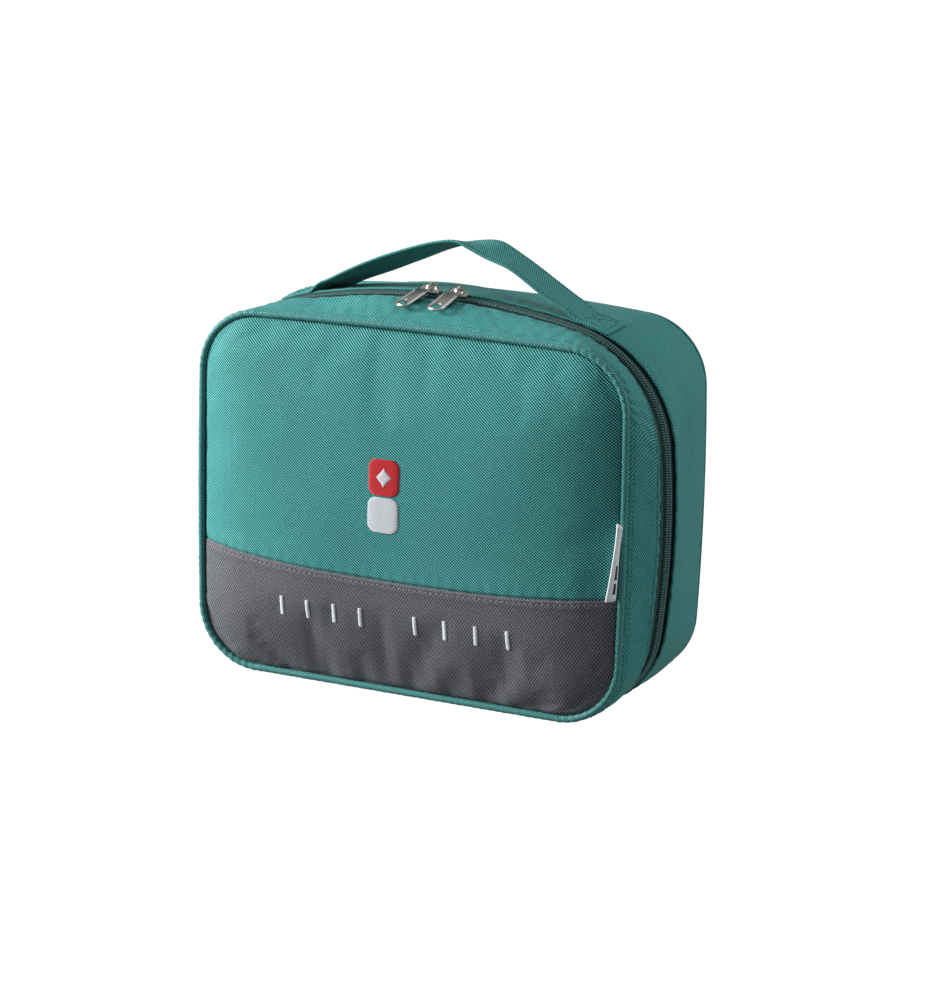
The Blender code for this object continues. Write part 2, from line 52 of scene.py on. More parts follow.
# ------------------------------------------------------------------ shape of the bag, mm
FRONT_Y, ZIP_Y, BACK_Y = -52.5, -23.0, 52.5
EDGE_Y = -50.3
CROWN = 13.0
PANEL = dict(xs=119.5, rs=3000.0, zs=95.0, zt=194.1, rt=3000.0, rc=30.0, rb=30.0, z0=5.1)
PIPING = dict(xs=122.6, rs=3000.0, zs=95.0, zt=197.1, rt=3000.0, rc=33.0, rb=33.0, z0=2.4)
EDGE = dict(xs=124.0, rs=3000.0, zs=95.0, zt=198.4, rt=3000.0, rc=34.5, rb=34.5, z0=0.0)
ZIP = dict(xs=135.0, rs=440.0, zs=99.5, zt=210.0, rt=356.0, rc=68.0, rb=50.0, z0=0.0)
BACK = dict(xs=125.0, rs=1500.0, zs=99.5, zt=202.0, rt=1000.0, rc=37.0, rb=37.0, z0=0.0)
LID_PUFF, BODY_PUFF, FLAT, ZIP_OPEN = 1.0, 1.4, 4.6, 6.0
CLOTH, GAP, FOAM, LINING = 1.2, 0.3, 2.4, 0.8
D_TAPE = -CLOTH - GAP
D_LINE = -CLOTH - FOAM - 2 * GAP
OUT_Y = FRONT_Y - 0.9
HALF = PANEL['xs'] + 0.9
STRAP_W, STRAP_T, STRAP_Y = 24.0, 1.8, -4.5


def outline(xs, rs, zs, zt, rt, rc, rb, z0, m=M):
    """Closed x-z outline made of tangent arcs: arched top, rounded corners, bowed sides, flat bottom."""
    ct = np.array([0.0, zt - rt])
    cs = np.array([xs - rs, zs])
    d = cs - ct
    dist = np.hypot(*d)
    r1, r2 = rt - rc, rs - rc
    a = (r1 * r1 - r2 * r2 + dist * dist) / (2 * dist)
    h = math.sqrt(r1 * r1 - a * a)
    u = d / dist
    p = ct + u * a
    n = np.array([-u[1], u[0]])
    cc = max((p + n * h, p - n * h), key=lambda c: c[1])
    th = math.atan2(*(cc - ct)[::-1])
    ph = math.atan2(*(cc - cs)[::-1])
    zb = z0 + rb
    xb = cs[0] + math.sqrt((rs - rb) ** 2 - (zb - zs) ** 2)
    cb = np.array([xb, zb])
    pb = math.atan2(*(cb - cs)[::-1])

    def arc(c, r, t0, t1, k):
        t = np.linspace(t0, t1, k * m, endpoint=False)
        return c + r * np.stack([np.cos(t), np.sin(t)], 1)
    t = np.linspace(0, 1, 3 * m + 1)
    right = np.concatenate([arc(ct, rt, PI / 2, th, 4), arc(cc, rc, th, ph, 6), arc(cs, rs, ph, pb, 4), arc(cb, rb, pb, -PI / 2, 5),
                            np.stack([xb * (1 - t), np.full_like(t, z0)], 1)])
    left = right[1:-1][::-1] * np.array([-1, 1])
    return np.concatenate([right, left])


def normals(loop):
    t = np.roll(loop, -1, 0) - np.roll(loop, 1, 0)
    t /= np.linalg.norm(t, axis=1)[:, None]
    return np.stack([-t[:, 1], t[:, 0]], 1)


def inset(loop, d):
    d = np.asarray(d, float)
    return loop + normals(loop) * (d[:, None] if d.ndim else d)


L_EDGE, L_ZIP, L_BACK = outline(**EDGE), outline(**ZIP), outline(**BACK)
N = len(L_ZIP)
ST = N // 44              # dense points per station
step = np.linalg.norm(np.roll(L_ZIP, -1, 0) - L_ZIP, axis=1)
ARC = np.concatenate([[0], np.cumsum(step)])
LOOP = ARC[-1]
TU = ARC[:-1] / LOOP      # position round the bag, 0 to 1, from the middle of the top


def section(y):
    """Outer outline of the bag at depth y."""
    if y <= ZIP_Y:
        t = min((y - EDGE_Y) / (ZIP_Y - FLAT - EDGE_Y), 1.0)
        lp, puff = L_EDGE * (1 - t) + L_ZIP * t, LID_PUFF
    else:
        t = max((y - ZIP_Y - FLAT) / (BACK_Y - ZIP_Y - FLAT), 0.0)
        lp, puff = L_ZIP * (1 - t) + L_BACK * t, BODY_PUFF
    lp = inset(lp, puff * 4 * max(t * (1 - t), 0.0))
    lp[:, 1] = np.maximum(lp[:, 1], 0.0)
    return lp


def hoop(y, d=0.0):
    """Points of the outline at depth y, offset d outwards; y may differ from point to point."""
    yy = float(np.mean(y))
    lp = inset(section(yy), d)
    return np.stack([lp[:, 0], np.zeros(N) + y, lp[:, 1]], 1)


def top_z(x, y, d=0.0):
    lp = inset(section(y), d)
    k = 9 * M
    p = np.concatenate([lp[-k:], lp[:k + 1]])
    return float(np.interp(x, p[:, 0], p[:, 1]))


def ripple(u, v, seed, n=9, ku=(8, 26), lv=(18, 60)):
    """Smooth unit waves over a hoop: u goes once round as 0 to 1, v is in mm."""
    r = np.random.default_rng(seed)
    out = 0
    for _ in range(n):
        out = out + np.sin(2 * PI * (int(r.integers(*ku)) * u + r.choice([-1, 1]) * v / r.uniform(*lv)) + r.uniform(0, 2 * PI))
    return out / math.sqrt(n)


def lumps(x, z, seed, n=10, lo=18.0, hi=60.0):
    """Smooth unit waves over a flat area in mm."""
    r = np.random.default_rng(seed)
    out = 0
    for _ in range(n):
        a, w = r.uniform(0, 2 * PI), r.uniform(lo, hi)
        out = out + np.sin(2 * PI * (x * math.cos(a) + z * math.sin(a)) / w + r.uniform(0, 2 * PI))
    return out / math.sqrt(n)


def bump(x, c, w):
    return np.exp(-((x - c) / w) ** 2)


# ------------------------------------------------------------------ the crowned front


def depth_in(x, z, grow=0.0):
    a = PANEL['xs'] + grow
    zc, hh, r = (PANEL['zt'] + PANEL['z0']) / 2, (PANEL['zt'] - PANEL['z0']) / 2 + grow, PANEL['rc'] + grow
    qx, qz = np.abs(x) - (a - r), np.abs(z - zc) - (hh - r)
    return -(np.hypot(np.maximum(qx, 0), np.maximum(qz, 0)) + np.minimum(np.maximum(qx, qz), 0) - r)


def crown_sharp(x, z):
    d = np.maximum(depth_in(x, z), 0.0)
    return CROWN * (1 - np.exp(-d / 24.0)) / (1 - math.exp(-95.0 / 24.0))


CX, CZ = np.arange(-140.0, 140.1, 2.5), np.arange(-20.0, 220.1, 2.5)
soft = crown_sharp(*np.meshgrid(CX, CZ))
kern = np.exp(-np.arange(-14, 15) ** 2 / (2 * 4.2 ** 2))
kern /= kern.sum()
soft = np.apply_along_axis(lambda r: np.convolve(r, kern, 'same'), 0, np.apply_along_axis(lambda r: np.convolve(r, kern, 'same'), 1, soft))


def crown(x, z):
    """Height of the padding: it rises steeply from the seam and rounds over into a soft middle."""
    x, z = np.asarray(x, float), np.asarray(z, float)
    i, j = np.clip((z + 20) / 2.5, 0, len(CZ) - 1.001), np.clip((x + 140) / 2.5, 0, len(CX) - 1.001)
    i0, j0 = i.astype(int), j.astype(int)
    a, b = i - i0, j - j0
    mid = soft[i0, j0] * (1 - a) * (1 - b) + soft[i0 + 1, j0] * a * (1 - b) + soft[i0, j0 + 1] * (1 - a) * b + soft[i0 + 1, j0 + 1] * a * b
    d = depth_in(x, z)
    t = np.clip((d - 6.0) / 34.0, 0, 1)
    t = t * t * (3 - 2 * t)
    return crown_sharp(x, z) * (1 - t) + mid * t


def seam_z(x):
    return 65.5 + 5.0 * (x / 120.0) ** 2


def edge_z(x, sign, grow=0.9):
    a, r = PANEL['xs'] + grow, PANEL['rc'] + grow
    zc, hh = (PANEL['zt'] + PANEL['z0']) / 2, (PANEL['zt'] - PANEL['z0']) / 2 + grow
    u = np.maximum(np.abs(x) - (a - r), 0.0)
    bow = x * x / (2 * PANEL['rt']) if sign > 0 else 0.0
    return zc + sign * (hh - r + np.sqrt(np.maximum(r * r - u * u, 0.0))) - bow


def grid_faces(nr, nc):
    r, c = np.meshgrid(np.arange(nr - 1), np.arange(nc - 1), indexing='ij')
    a = (r * nc + c).ravel()
    return np.stack([a, a + 1, a + nc + 1, a + nc], 1)


def settle(front, back, pin, pressure, slack, cap, seed):
    """Cloth between pinned edges, blown up by the padding behind it: returns how far each point of the front moves, mm.
    The sheet is cut a little larger than its frame (slack), so it finds its own soft folds."""
    nr, nc = front.shape[:2]
    k = nr * nc
    rng = np.random.default_rng(seed)
    fr = front + rng.uniform(-0.05, 0.05, front.shape)
    verts = np.concatenate([fr.reshape(-1, 3), back.reshape(-1, 3)]) * MM
    g = grid_faces(nr, nc)
    faces = [tuple(f) for f in g] + [tuple(f[::-1] + k) for f in g]
    rim = [c for c in range(nc)] + [r * nc + nc - 1 for r in range(1, nr)] + [(nr - 1) * nc + c for c in range(nc - 2, -1, -1)] + [r * nc for r in range(nr - 2, 0, -1)]
    for i, a in enumerate(rim):
        b = rim[(i + 1) % len(rim)]
        faces.append((b, a, a + k, b + k))
    me = bpy.data.meshes.new('settle')
    me.from_pydata([tuple(v) for v in verts], [], [tuple(int(i) for i in f) for f in faces])
    bm = bmesh.new()
    bm.from_mesh(me)
    bmesh.ops.recalc_face_normals(bm, faces=bm.faces)
    bm.to_mesh(me)
    bm.free()
    ob = bpy.data.objects.new('settle', me)
    bpy.context.scene.collection.objects.link(ob)
    vg = ob.vertex_groups.new(name='pin')
    vg.add(list(range(k, 2 * k)), 1.0, 'REPLACE')
    for i, w in enumerate(pin.ravel()):
        if w > 0:
            vg.add([i], float(w), 'REPLACE')
    cl = ob.modifiers.new('Cloth', 'CLOTH')
    s = cl.settings
    s.quality = 6
    s.mass = 0.12
    s.tension_stiffness = s.compression_stiffness = 18
    s.shear_stiffness = 6
    s.bending_stiffness = 0.6
    s.vertex_group_mass = 'pin'
    s.use_pressure = True
    s.uniform_pressure_force = pressure
    s.shrink_min = -slack
    s.effector_weights.gravity = 0
    cl.point_cache.frame_start, cl.point_cache.frame_end = 1, 20
    sc = bpy.context.scene
    for f in range(1, 21):
        sc.frame_set(f)
    dg = bpy.context.evaluated_depsgraph_get()
    ev = ob.evaluated_get(dg)
    out = np.empty(len(verts) * 3)
    ev.data.vertices.foreach_get('co', out)
    out = out.reshape(-1, 3)[:k].reshape(nr, nc, 3) / MM
    sc.frame_set(1)
    bpy.data.objects.remove(ob, do_unlink=True)
    d = out - front
    d[~np.isfinite(d)] = 0
    size = np.linalg.norm(d, axis=2, keepdims=True)
    return d * np.minimum(1.0, cap / np.maximum(size, 1e-9)) * (1 - pin[..., None])


# the front cloth settled over its foam, on a coarse net, then read back anywhere by position
TX, TZ = np.linspace(-1, 1, 53), np.linspace(0, 1, 43)
gx = HALF * np.sin(PI / 2 * TX)[None, :] + 0 * TZ[:, None]
gz = edge_z(gx, -1) + (edge_z(gx, 1) - edge_z(gx, -1)) * (0.5 - 0.5 * np.cos(PI * TZ))[:, None]
net = np.stack([gx, OUT_Y - crown(gx, gz), gz], 2)
flat = net.copy()
flat[..., 1] = -40.0
pins = np.zeros(gx.shape)
pins[0, :] = pins[-1, :] = pins[:, 0] = pins[:, -1] = 1.0
FRONT_D = settle(net, flat, pins, 2.0, 0.012, 2.4, 5)[..., 1]


def settled(x, z):
    tx = np.clip(np.arcsin(np.clip(x / HALF, -1, 1)) * 2 / PI, -1, 1)
    lo, hi = edge_z(x, -1), edge_z(x, 1)
    f = np.clip((z - lo) / np.maximum(hi - lo, 1e-6), 0, 1)
    tz = np.arccos(1 - 2 * f) / PI
    i, j = tz * (len(TZ) - 1), (tx + 1) / 2 * (len(TX) - 1)
    i0, j0 = np.clip(i.astype(int), 0, len(TZ) - 2), np.clip(j.astype(int), 0, len(TX) - 2)
    a, b = i - i0, j - j0
    D = FRONT_D
    return (D[i0, j0] * (1 - a) * (1 - b) + D[i0 + 1, j0] * a * (1 - b) + D[i0, j0 + 1] * (1 - a) * b + D[i0 + 1, j0 + 1] * a * b)


def front_y(x, z):
    """Outer face of the front panel."""
    x, z = np.asarray(x, float), np.asarray(z, float)
    d = depth_in(x, z, 0.9)
    # the wide green cloth is drawn tighter over the foam than the grey one
    y = OUT_Y - crown(x, z) + settled(x, z) * (0.38 + 0.62 * np.clip((82.0 - z) / 45.0, 0, 1))
    y = y + 0.22 * lumps(x, z, 3, lo=50, hi=110) * (1 - np.exp(-d / 14))
    y = y + 1.5 * np.exp(-np.maximum(d, 0) / 0.9)
    # pulls where the seam gathers the cloth, strongest at the corners
    ang = np.arctan2(z - 99.6, x)
    pull = 0.5 + 0.5 * np.sin(38 * ang + 1.7 * np.sin(5 * ang)) * np.cos(3.1 * ang + 1)
    corner = np.exp(-((np.abs(x) - 104) / 26.0) ** 2) * np.exp(-((np.abs(z - 99.6) - 80) / 24.0) ** 2)
    y = y + (0.07 + 0.42 * corner) * pull * np.exp(-d / 11.0) * (1 - np.exp(-d / 2.0))
    # the joining seam: a crease, then the turned edge under the top-stitch
    s = z - seam_z(x)
    y = y + 0.75 * bump(s, 0.0, 0.8) + 0.25 * bump(s, -2.5, 0.55) - 0.32 * (s < 0) * np.exp(-np.maximum(-s - 4.5, 0) / 1.2)
    y = y + 0.10 * np.sin(2 * PI * x / 7.3 + 1.2 * np.sin(x / 19)) * bump(s, 1.5, 4.5)
    return y


# ------------------------------------------------------------------ materials


def shader(name, colour, rough=0.6, metal=0.0, sheen=0.0, spec=0.5):
    m = bpy.data.materials.new(name)
    m.use_nodes = True
    b = m.node_tree.nodes['Principled BSDF']
    b.inputs['Base Color'].default_value = (*colour, 1.0)
    b.inputs['Roughness'].default_value = rough
    b.inputs['Metallic'].default_value = metal
    b.inputs['Sheen Weight'].default_value = sheen
    b.inputs['Sheen Roughness'].default_value = 0.4
    b.inputs['Specular IOR Level'].default_value = spec
    m.diffuse_color = (*colour, 1.0)
    return m, m.node_tree.nodes, m.node_tree.links, b


def node(nodes, kind, **kw):
    n = nodes.new(kind)
    for k, v in kw.items():
        setattr(n, k, v)
    return n


def woven(name, colour, pitch=0.95, depth=0.30, painted_glint=0.35, relief=0.35, rough=0.7, sheen=0.04, spec=0.16, lo=0.52, hi=1.62, twill=0.0, lean=1, fu=0.78, fv=0.94):
    """Plain-woven cloth: two sets of yarns, uneven yarn by yarn. The base colour holds painted shade between the yarns
    and painted highlight flecks where a yarn catches the light.
    """
    m, ns, ln, b = shader(name, colour, rough, 0.0, sheen, spec)
    b.inputs['Sheen Tint'].default_value = (0.75, 0.95, 0.95, 1.0)
    uv = node(ns, 'ShaderNodeUVMap', uv_map='weave')
    sep = node(ns, 'ShaderNodeSeparateXYZ')
    ln.new(uv.outputs[0], sep.inputs[0])

    def math_(op, a, bb=None):
        n = node(ns, 'ShaderNodeMath', operation=op)
        for i, v in enumerate((a, bb)):
            if v is None:
                continue
            if isinstance(v, (int, float)):
                n.inputs[i].default_value = v
            else:
                ln.new(v, n.inputs[i])
        return n.outputs[0]
    ku, kv = PI / (pitch * fu), PI / (pitch * fv)
    su = math_('SINE', math_('MULTIPLY', sep.outputs[0], ku))
    sv = math_('SINE', math_('MULTIPLY', sep.outputs[1], kv))
    over = math_('MULTIPLY', su, sv)
    if twill:
        diag = math_('COSINE', math_('ADD', math_('MULTIPLY', sep.outputs[0], ku), math_('MULTIPLY', sep.outputs[1], kv)))
        over = math_('ADD', over, math_('MULTIPLY', diag, lean * twill))
    grain = node(ns, 'ShaderNodeTexNoise')
    grain.inputs['Scale'].default_value = 1.15 / pitch
    grain.inputs['Detail'].default_value = 1.5
    ln.new(uv.outputs[0], grain.inputs['Vector'])
    slub = node(ns, 'ShaderNodeTexNoise')
    slub.inputs['Scale'].default_value = 0.06
    slub.inputs['Detail'].default_value = 3.0
    ln.new(uv.outputs[0], slub.inputs['Vector'])
    ramp = node(ns, 'ShaderNodeMapRange')
    ramp.inputs['From Min'].default_value = 0.50
    ramp.inputs['From Max'].default_value = 0.72
    ln.new(grain.outputs[0], ramp.inputs['Value'])
    # painted yarn shading: the base colour is painted light on the yarn crowns and dark in the holes between them, plus
    # painted highlight flecks
    f = math_('ADD', math_('MULTIPLY', over, depth), math_('MULTIPLY', ramp.outputs[0], painted_glint))
    f = math_('ADD', f, math_('MULTIPLY', math_('SUBTRACT', slub.outputs[0], 0.5), 0.12))
    f = math_('ADD', f, 0.42)
    mix = node(ns, 'ShaderNodeMix', data_type='RGBA', clamp_factor=True)
    ln.new(f, mix.inputs[0])
    c = np.array(colour)
    mix.inputs[6].default_value = (*(c * lo), 1.0)
    mix.inputs[7].default_value = (*np.minimum(c * hi + 0.012, 1.0), 1.0)
    ln.new(mix.outputs[2], b.inputs['Base Color'])
    bp = node(ns, 'ShaderNodeBump')
    bp.inputs['Strength'].default_value = relief
    bp.inputs['Distance'].default_value = 0.00022
    h = math_('ADD', math_('MULTIPLY', over, 0.5), math_('MULTIPLY', grain.outputs[0], 0.8))
    ln.new(h, bp.inputs['Height'])
    ln.new(bp.outputs[0], b.inputs['Normal'])
    return m


TEAL = (0.038, 0.208, 0.195)
# lo and hi set how dark the painted shade between the yarns and how bright the painted highlights become
GREEN = woven('green_oxford_cloth', (0.031, 0.178, 0.168), depth=1.0, painted_glint=0.38, relief=0.5, lo=0.03, hi=2.45, twill=0.3, lean=-1, fu=0.92, fv=0.79)
GREEN_SIDE = woven('green_oxford_cloth_side', (0.036, 0.199, 0.187), pitch=0.95, depth=0.5, painted_glint=0.42, relief=0.35, lo=0.22, hi=1.9, twill=0.25, lean=-1, fu=0.92, fv=0.85)
GREY = woven('grey_oxford_cloth', (0.089, 0.091, 0.101), depth=0.60, painted_glint=0.50, lo=0.16, hi=1.95, twill=0.22, fu=0.85, fv=1.25)
STRAP_M = woven('green_strap', (0.039, 0.208, 0.196), pitch=0.95, depth=0.6, painted_glint=0.35, lo=0.2, hi=1.9, twill=0.3, lean=-1, fu=0.72, fv=0.96)
PIPE_M = woven('green_piping', (0.031, 0.150, 0.143), pitch=1.1, depth=0.6, painted_glint=0.35, rough=0.55, spec=0.25, lo=0.22, hi=2.3, twill=0.8)
LINE_M = woven('grey_lining', (0.20, 0.21, 0.22), pitch=0.5, depth=0.10, painted_glint=0.1, relief=0.15)
# zipper tape: a dark green, made darker still so that it paints the shade in the gaps beside the coil
TAPE_M = woven('zipper_tape', (0.012, 0.056, 0.053), pitch=0.5, depth=0.3, painted_glint=0.2)
ELASTIC_M = woven('grey_elastic', (0.10, 0.105, 0.11), pitch=1.4, depth=0.35, painted_glint=0.1)
BIND_M = woven('dark_binding', (0.045, 0.05, 0.055), pitch=0.7, depth=0.2, painted_glint=0.1)
FOAM_M = shader('white_foam', (0.72, 0.72, 0.69), 0.95)[0]
COIL_M = shader('zipper_coil', (0.085, 0.215, 0.203), 0.40)[0]
CORD_M = shader('zipper_thread', (0.012, 0.035, 0.034), 0.8)[0]
THREAD_M = shader('green_thread', (0.030, 0.165, 0.155), 0.6)[0]
GREY_THREAD = shader('grey_thread', (0.20, 0.165, 0.180), 0.6, sheen=0.2)[0]
WHITE_T = shader('white_thread', (0.52, 0.53, 0.56), 0.55, sheen=0.05, spec=0.3)[0]
RED_T = shader('red_thread', (0.46, 0.010, 0.016), 0.55, sheen=0.03, spec=0.3)[0]
LABEL_M = woven('white_label', (0.70, 0.72, 0.74), pitch=0.4, depth=0.05, painted_glint=0.05, relief=0.1, lo=0.8, hi=1.15)
INK_M = shader('dark_print', (0.02, 0.02, 0.022), 0.7)[0]


def metal(name, colour, rough):
    m, ns, ln, b = shader(name, colour, rough, 1.0)
    tc = node(ns, 'ShaderNodeTexCoord')
    nz = node(ns, 'ShaderNodeTexNoise')
    nz.inputs['Scale'].default_value = 420.0
    nz.inputs['Detail'].default_value = 4.0
    ln.new(tc.outputs['Object'], nz.inputs['Vector'])
    mr = node(ns, 'ShaderNodeMapRange')
    mr.inputs['To Min'].default_value = rough - 0.08
    mr.inputs['To Max'].default_value = rough + 0.12
    ln.new(nz.outputs[0], mr.inputs['Value'])
    ln.new(mr.outputs[0], b.inputs['Roughness'])
    bp = node(ns, 'ShaderNodeBump')
    bp.inputs['Strength'].default_value = 0.12
    bp.inputs['Distance'].default_value = 0.0001
    ln.new(nz.outputs[0], bp.inputs['Height'])
    ln.new(bp.outputs[0], b.inputs['Normal'])
    return m


NICKEL = metal('nickel_plated_metal', (0.60, 0.56, 0.52), 0.30)


def net_material(name, colour, pitch):
    """Knitted net: rows of round holes, each row half a step along."""
    m, ns, ln, b = shader(name, colour, 0.8)
    uv = node(ns, 'ShaderNodeUVMap', uv_map='weave')
    vo = node(ns, 'ShaderNodeTexVoronoi')
    vo.inputs['Scale'].default_value = 1.0 / pitch
    vo.inputs['Randomness'].default_value = 0.12
    ln.new(uv.outputs[0], vo.inputs['Vector'])
    mr = node(ns, 'ShaderNodeMapRange')
    mr.inputs['From Min'].default_value = 0.30
    mr.inputs['From Max'].default_value = 0.38
    ln.new(vo.outputs['Distance'], mr.inputs['Value'])
    ln.new(mr.outputs[0], b.inputs['Alpha'])
    return m


MESH_M = net_material('black_mesh', (0.05, 0.05, 0.055), 2.6)

# ------------------------------------------------------------------ mesh building


def mesh(name, verts, faces, mat, body, nodes=(), slot=None, uv=None, weld=True, sharp=None, smooth=True):
    """Mesh from points in mm. uv is one pair per point, in mm of cloth."""
    me = bpy.data.meshes.new(name)
    v = np.asarray(verts, float).reshape(-1, 3) * MM
    me.from_pydata(v.tolist(), [], [tuple(int(i) for i in f) for f in faces])
    if uv is not None:
        lay = me.uv_layers.new(name='weave')
        idx = np.empty(len(me.loops), int)
        me.loops.foreach_get('vertex_index', idx)
        lay.data.foreach_set('uv', np.asarray(uv, float).reshape(-1, 2)[idx].ravel())
    if weld:
        bm = bmesh.new()
        bm.from_mesh(me)
        bmesh.ops.remove_doubles(bm, verts=bm.verts, dist=2e-6)
        bmesh.ops.recalc_face_normals(bm, faces=bm.faces)
        bm.to_mesh(me)
        bm.free()
    me.materials.append(mat)
    if smooth:
        me.shade_smooth()
        if sharp:
            me.set_sharp_from_angle(angle=math.radians(sharp))
    ob = bpy.data.objects.new(name, me)
    bpy.context.scene.collection.objects.link(ob)
    if nodes:
        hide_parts(*nodes)
    if body:
        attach(ob, body)
    return ob


def loft(name, rows, mat, body, closed=True, flat=False, **kw):
    """Skin over hoops of N points. closed joins the last hoop back to the first, for a thick band."""
    rows = [np.asarray(r, float) for r in rows]
    if closed:
        rows.append(rows[0])
    P = np.stack(rows)
    P = np.concatenate([P, P[:, :1]], 1)
    nr, nc = P.shape[:2]
    V = np.concatenate([[0], np.cumsum(np.linalg.norm(np.diff(P[:, N // 4], axis=0), axis=1))])
    L = round(LOOP / 1.9) * 1.9
    uv = np.stack([np.broadcast_to((ARC / LOOP * L)[None, :], (nr, nc)), np.broadcast_to(V[:, None], (nr, nc))], 2)
    if flat:
        uv = P[..., [0, 2]].copy()
    return mesh(name, P, grid_faces(nr, nc), mat, body, uv=uv, **kw)


def slab(name, F, B, mat, body, uv=None, **kw):
    """Closed sheet between a front and a back grid."""
    nr, nc = F.shape[:2]
    k = nr * nc
    g = grid_faces(nr, nc)
    faces = [tuple(f) for f in g] + [tuple((f + k)[::-1]) for f in g]
    rim = list(range(nc)) + [r * nc + nc - 1 for r in range(1, nr)] + [(nr - 1) * nc + c for c in range(nc - 2, -1, -1)] + [r * nc for r in range(nr - 2, 0, -1)]
    for i, a in enumerate(rim):
        b = rim[(i + 1) % len(rim)]
        faces.append((b, a, a + k, b + k))
    if uv is None:
        uv = np.stack([F[..., 0], F[..., 2]], 2)
    return mesh(name, np.concatenate([F.reshape(-1, 3), B.reshape(-1, 3)]), faces, mat, body,
                uv=np.concatenate([uv.reshape(-1, 2)] * 2), **kw)


def tube(name, path, r, mat, body, closed=False, sides=8, flat=1.0, up=None, **kw):
    """Round or flattened cord along a path of points."""
    p = np.asarray(path, float)
    n = len(p)
    t = (np.roll(p, -1, 0) - np.roll(p, 1, 0)) if closed else np.gradient(p, axis=0)
    t /= np.linalg.norm(t, axis=1)[:, None]
    up = np.array([0, 1.0, 0]) if up is None else np.asarray(up, float)
    up = np.broadcast_to(up, t.shape)
    a = np.cross(t, up)
    a /= np.linalg.norm(a, axis=1)[:, None]
    b = np.cross(a, t)
    rr = np.broadcast_to(np.asarray(r, float), (n,) if np.ndim(r) < 2 else np.shape(r))
    cols = []
    for k in range(sides + 1):
        q = 2 * PI * (k % sides) / sides
        rk = rr[:, k % sides] if rr.ndim == 2 else rr
        cols.append(p + a * (rk * math.cos(q) * flat)[:, None] + b * (rk * math.sin(q))[:, None])
    P = np.stack(cols, 1)
    if closed:
        P = np.concatenate([P, P[:1]], 0)
    nr, nc = P.shape[:2]
    s = np.concatenate([[0], np.cumsum(np.linalg.norm(np.diff(P[:, 0], axis=0), axis=1))])
    uv = np.stack([np.broadcast_to(s[:, None], (nr, nc)), np.broadcast_to(np.linspace(0, 2 * PI * float(np.mean(rr)), nc)[None], (nr, nc))], 2)
    faces = [tuple(f) for f in grid_faces(nr, nc)]
    if not closed:
        faces += [tuple(range(nc - 1)), tuple(range((nr - 1) * nc, nr * nc - 1))[::-1]]
    return mesh(name, P, faces, mat, body, uv=uv, **kw)


CAP = [(0.0, 0.0), (0.10, 0.75), (0.28, 1.0), (0.72, 1.0), (0.90, 0.75), (1.0, 0.0)]


def stitches(name, path, out, length, pitch, r, mat, body, closed=True, start=0.0, flat=0.75, jitter=0.0, seed=1, slant=0.0):
    """Row of thread stitches lying on a path; out is the surface normal at each point."""
    p, o = np.asarray(path, float), np.asarray(out, float)
    if closed:
        p, o = np.concatenate([p, p[:1]]), np.concatenate([o, o[:1]])
    s = np.concatenate([[0], np.cumsum(np.linalg.norm(np.diff(p, axis=0), axis=1))])
    count = int((s[-1] - start) / pitch)
    pitch = (s[-1] - start) / count if closed else pitch
    rng = np.random.default_rng(seed)
    verts, faces = [], []
    sides = 6
    for i in range(count):
        a = start + i * pitch + rng.uniform(-jitter, jitter)
        at = lambda q: np.array([np.interp(q, s, p[:, c]) for c in range(3)])
        n = np.array([np.interp(a + length / 2, s, o[:, c]) for c in range(3)])
        n /= np.linalg.norm(n)
        p0, p1 = at(a), at(min(a + length, s[-1]))
        d = p1 - p0
        L = np.linalg.norm(d)
        if L < 0.2:
            continue
        d /= L
        w = np.cross(n, d)
        if slant:
            p0, p1 = p0 - w * slant, p1 + w * slant
        base = len(verts)
        for (q, k) in CAP:
            c = p0 + (p1 - p0) * q + n * (r * 0.9 * math.sin(PI * q) - 0.15 * r)
            for j in range(sides):
                an = 2 * PI * j / sides
                verts.append(c + (w * math.cos(an) + n * math.sin(an) * flat) * r * max(k, 0.02))
        for ring in range(len(CAP) - 1):
            for j in range(sides):
                q, q2 = base + ring * sides + j, base + ring * sides + (j + 1) % sides
                faces.append((q, q2, q2 + sides, q + sides))
    return mesh(name, verts, faces, mat, body, weld=False, uv=None)


def loop_normals(lp):
    n = normals(lp)
    return np.stack([n[:, 0], np.zeros(len(n)), n[:, 1]], 1)


# ------------------------------------------------------------------ front panel, two cloths over foam


def panel(name, lo, hi, mat, node_name, slot, nx=230, nz=130, thick=1.1):
    tx = np.sin(PI / 2 * np.linspace(-1, 1, nx)) * HALF
    x = np.broadcast_to(tx[None, :], (nz, nx)).copy()
    f = (0.5 - 0.5 * np.cos(PI * np.linspace(0, 1, nz)))[:, None]
    z = lo(x) + (hi(x) - lo(x)) * f
    y = front_y(x, z)
    F = np.stack([x, y, z], 2)
    B = F.copy()
    B[..., 1] += thick
    return slab(name, F, B, mat, 'lid', nodes=[node_name], slot=slot, weld=True)


upper = panel('front_panel_upper_cloth', lambda x: seam_z(x) + 0.05, lambda x: edge_z(x, 1), GREEN, 'front_panel_upper', 'green_cloth')
lower = panel('front_panel_lower_cloth', lambda x: edge_z(x, -1), lambda x: seam_z(x) - 0.05, GREY, 'front_panel_lower', 'grey_cloth', nz=90)

fx = np.sin(PI / 2 * np.linspace(-1, 1, 60)) * (PANEL['xs'] - 4)
x = np.broadcast_to(fx[None, :], (50, 60)).copy()
z = edge_z(x, -1, -4.0) + (edge_z(x, 1, -4.0) - edge_z(x, -1, -4.0)) * (0.5 - 0.5 * np.cos(PI * np.linspace(0, 1, 50)))[:, None]
F = np.stack([x, OUT_Y + CLOTH + 2.6 - 0.9 * crown(x, z), z], 2)
B = F.copy()
B[..., 1] = -48.2
slab('front_foam_pad', F, B, FOAM_M, 'lid', nodes=['front_foam'], slot='foam')

